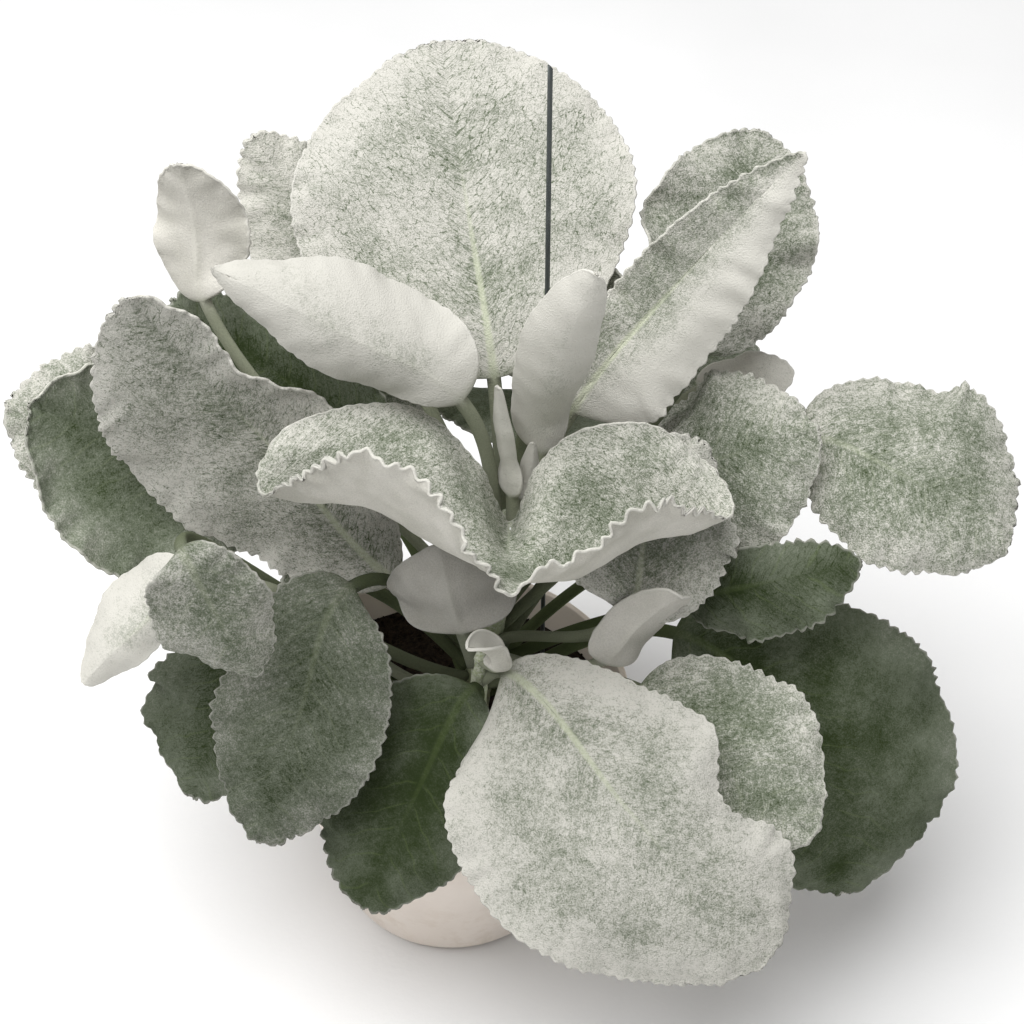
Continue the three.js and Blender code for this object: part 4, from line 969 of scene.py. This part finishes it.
rib_edge = aside / (1.02 - reach) ** 1.2 + (mottle - 0.5) * 0.0024
rib_mark = rib_edge.step(RIB_HALF_WIDTH, 0.001) * reach.step(0.75, 0.2) * wool.step(1.0, 0.75)
rib_mark = rib_mark * (0.35 + wool.step(0.5, 0.7) * 0.65)
rib_shade = wool.step(0.0, 0.6).mix(tint(104, 120, 72), tint(192, 197, 172))
coloured = (rib_mark * (0.4 + tufts * 0.6)).mix(coloured, rib_shade)
line = vein_line / VEIN_PITCH + (patches - 0.5) * 1.6
wave = line.apply("FRACT", line)
side_vein = abs(wave - 0.5).step(0.07, 0.0) * aside.step(0.001, 0.004) * aside.step(0.04, 0.01)
coloured = (side_vein * (0.25 - wool * 0.25)).mix(coloured, rib_shade)

below = patches.step(0.2, 0.8).mix(tint(184, 182, 172), tint(214, 211, 203))
below = below * (0.8 + mottle * 0.4)
rib_below = aside.step(0.0035, 0.001) * reach.step(0.9, 0.3)
raised = side_vein * 0.3 + rib_below * 0.6
below = (raised * 0.3).mix(below, tint(216, 215, 202))
coloured = under.mix(coloured, below)
stalk = reach.step(0.05, -0.03)
stalk_shade = wool.step(0.1, 0.95).mix(tint(80, 90, 60), tint(142, 146, 126))
coloured = stalk.mix(coloured, stalk_shade * (0.8 + mottle * 0.4))
rim = margin.step(0.0018, 0.0006) * reach.step(0.01, 0.08)
coloured = (rim * (0.3 + wool * 0.5)).mix(coloured, tint(210, 208, 200))
# Painted shade: each leaf's colour is darkened by its own share, standing for the shade that the leaves round
# it cast.
coloured = coloured * (1 - dim)

pile = mottle * 0.8 * shaggy * (1 - under * 0.4) + rim * 0.4
close_finish(tree, coloured, 0.88 + mottle * 0.1, pile, FELT_RELIEF, {"Specular IOR Level": 0.1})

SKIN = {
    "Tooth Pitch": 0.0064, "Tooth Depth": 0.0022, "Tooth Curl": 0.0014, "Ruffle": 0.0012,
    "Unevenness": 0.0018, "Half Thickness": HALF_THICKNESS * 0.001, "Woolly Rim": 0.0003,
    "Petiole Half Thickness": PETIOLE_HALF_THICKNESS * 0.001, "Rib Depth": RIB_DEPTH * 0.001,
    "Vein Pitch": VEIN_PITCH, "Material": felt,
}
WHITE_FROM, GREY_FROM = 0.75, 0.3


def leaf_slot(leaf):
    cover = np.mean(leaf["felt"])
    return "leaf_white" if cover >= WHITE_FROM else "leaf_grey" if cover >= GREY_FROM else "leaf_green"


for leaf in LEAVES:
    piece_name = leaf["name"] + "_felted"
    piece = new_piece(piece_name, sheet_mesh(piece_name, *leaf_sheet(leaf)), None)
    grow(piece, felting, SKIN)
    hand_over(piece, leaf_slot(leaf), leaf["name"])

# The broad front leaf of the crown: the same kind of leaf, but lying like a saddle over its petiole, both
# lobes arching down to the sides and the front margin flung up in ruffles. Its blade is set by eleven rows
# of points from the left lobe's end to the right one's, each from the rear margin to the front one.
SADDLE = {"name": "leaf_crown_front", "at": 252, "felt": 0.54}
SADDLE_ROWS = np.array([
    [[-84, -28, 345], [-87, -35, 341], [-86, -43, 339], [-82, -50, 341]],
    [[-72, -18, 357], [-72, -30, 349], [-66, -44, 331], [-60, -60, 363]],
    [[-39, -3, 358], [-37, -20, 350], [-34, -50, 333], [-34, -72, 386]],
    [[-8, 2, 349], [-4, -25, 344], [-6, -60, 322], [-1, -84, 376]],
    [[18, -8, 323], [18, -34, 320], [15, -70, 317], [12, -98, 357]],
    [[34, -10, 287], [33, -42, 299], [32, -76, 315], [32, -104, 330]],
    [[48, -8, 324], [48, -34, 316], [47, -70, 306], [49, -98, 336]],
    [[68, -8, 346], [69, -25, 330], [68, -60, 299], [71, -86, 340]],
    [[102, -6, 348], [101, -20, 336], [98, -50, 311], [99, -74, 357]],
    [[128, -12, 331], [128, -26, 328], [123, -44, 312], [122, -60, 340]],
    [[139, -27, 327], [142, -34, 324], [142, -42, 322], [138, -49, 325]],
], float)
SADDLE_RIB = np.array([3.4, 3.4, 2.4, 1.6, 0.9])
SADDLE_SKIN = {
    **SKIN, "Tooth Pitch": 0.0078, "Tooth Depth": 0.0036, "Tooth Curl": 0.0036, "Ruffle": 0.002,
}
CROSS_STEPS, LOBE_STEPS, RIB_STEPS, RIB_SIDES, RIB_ENDS = 67, 301, 61, 21, 0.9


def through(points, x):
    """A smooth curve through evenly spaced points (the first axis), read at each x from 0 to 1."""
    place = np.clip(x, 0, 0.9999) * (len(points) - 1)
    i = place.astype(int)
    t = (place - i).reshape(-1, *[1] * (points.ndim - 1))
    a, b, c, d = (points[np.clip(i + k, 0, len(points) - 1)] for k in (-1, 0, 1, 2))
    bend = 2 * a - 5 * b + 4 * c - d
    twist = 3 * b - a - 3 * c + d
    return b + 0.5 * ((c - a) * t + bend * t * t + twist * t**3)


rear_to_front = crowded(CROSS_STEPS, 0.3)
lobe_to_lobe = np.linspace(0, 1, LOBE_STEPS)
threads = through(SADDLE_ROWS.transpose(1, 0, 2), rear_to_front).transpose(1, 0, 2)
points = through(threads, lobe_to_lobe)
line = np.concatenate([points[0, :0:-1], points[:, 0], points[-1, 1:], points[:0:-1, -1]])
inner = np.concatenate([points[1, :0:-1], points[:, 1], points[-2, 1:], points[:0:-1, -2]])
across = measured(points)
across = across - across[LOBE_STEPS // 2]
spread = np.ones_like(across)
# The front margin is frilled most, the rear one hardly and the ends of the lobes a little.
aside = abs(lobe_to_lobe[:, None] - 0.5)
frilled = 0.12 + 0.88 * smooth(rear_to_front[None] * 2.2 + aside - 0.5) - 0.65 * smooth((aside - 0.34) * 8)
saddle_fields = {
    "across": across * 0.001,
    "along": measured(points, axis=1) * 0.001,
    "reach": spread * (0.35 + 0.65 * rear_to_front[None]),
    **by_margin(points, [[*spot, True] for spot in zip(*margin_of(line, inner, np.zeros(3)))]),
    "section": spread,
    "rib": spread * 0,
    "felt": spread * SADDLE["felt"],
    "net": spread * 0.8,
    "tooth": spread * frilled,
}
saddle_name = SADDLE["name"] + "_felted"
saddle = new_piece(saddle_name, sheet_mesh(saddle_name, points, saddle_fields), None)
grow(saddle, felting, SADDLE_SKIN)

# Its petiole comes up from the stem and runs on under the blade as the midrib, to just behind the margin.
heart, _ = seat(STEMS["main"], SADDLE["at"])
path = np.array([heart, heart + (0, -8, 14), *(SADDLE_ROWS[5] - (0, 0, 1) * SADDLE_RIB[1:, None])])
turns = np.linspace(0, RIB_ENDS, RIB_STEPS)
centres = through(path, turns)
ways = unit(through(path, turns + 0.02) - through(path, turns - 0.02))
ups = np.cross((1.0, 0.0, 0.0), ways)
radii = through(SADDLE_RIB[:, None], turns)
angles = np.linspace(0, -2 * np.pi, RIB_SIDES)
rod = centres[:, None] + np.array((1.0, 0, 0)) * (radii * np.cos(angles))[..., None]
rod = rod + ups[:, None] * (radii * np.sin(angles) * 0.8)[..., None]
ring = np.ones((1, RIB_SIDES, 1))
rod = np.concatenate([centres[:1, None] * ring, rod, centres[-1:, None] * ring])
around = np.ones(rod.shape[:2])
rod_fields = {
    "across": around * 0.0, "along": around * 0.0, "reach": around * -0.2, "margin": around * 0.05,
    "run": around * 0.0, "felt": around * SADDLE["felt"], "net": around * 0.0, "tooth": around * 0.0,
    "under": around,
}
petiole = sheet_mesh("petiole", rod, rod_fields)
shape = bmesh.new()
shape.from_mesh(saddle.data)
shape.from_mesh(petiole)
bmesh.ops.remove_doubles(shape, verts=shape.verts, dist=SEAM)
for face in shape.faces:
    face.smooth = True
shape.to_mesh(saddle.data)
shape.free()
bpy.data.meshes.remove(petiole)
hand_over(saddle, leaf_slot(SADDLE), SADDLE["name"])

# The studio: a plain pale table top in front of nothing, under one very large soft light above and a
# little in front, with an even white room round it.
TABLE_SIZE, SOFTBOX_SIZE, SOFTBOX_POWER, ROOM_LIGHT = 6.0, 2.4, 76, 0.36
table_top, tree, spot = new_finish("pale table top")
shade = grain(tree, spot, 3, 3.0).step(0.3, 0.7).mix(tint(240, 240, 240), tint(246, 246, 246))
close_finish(tree, shade, 0.9, grain(tree, spot, 300, 2.0), 0.0001, {"Specular IOR Level": 0.1})
mesh = bpy.data.meshes.new("table_top")
half = TABLE_SIZE / 2
mesh.from_pydata([(-half, -half, 0), (half, -half, 0), (half, half, 0), (-half, half, 0)], [], [(0, 1, 2, 3)])
new_piece("table_top", mesh, table_top)

softbox = bpy.data.lights.new("softbox", "AREA")
softbox.shape = "DISK"
softbox.size = SOFTBOX_SIZE
softbox.energy = SOFTBOX_POWER
light = bpy.data.objects.new("softbox", softbox)
light.location = (-0.5, -0.3, 2.3)
light.rotation_euler = (math.radians(7), math.radians(-12), 0)
bpy.context.scene.collection.objects.link(light)

room = bpy.data.worlds.new("white room")
room.use_nodes = True
white_wall = room.node_tree.nodes["Background"].inputs
white_wall["Color"].default_value = (1.0, 1.0, 1.0, 1.0)
white_wall["Strength"].default_value = ROOM_LIGHT
bpy.context.scene.world = room
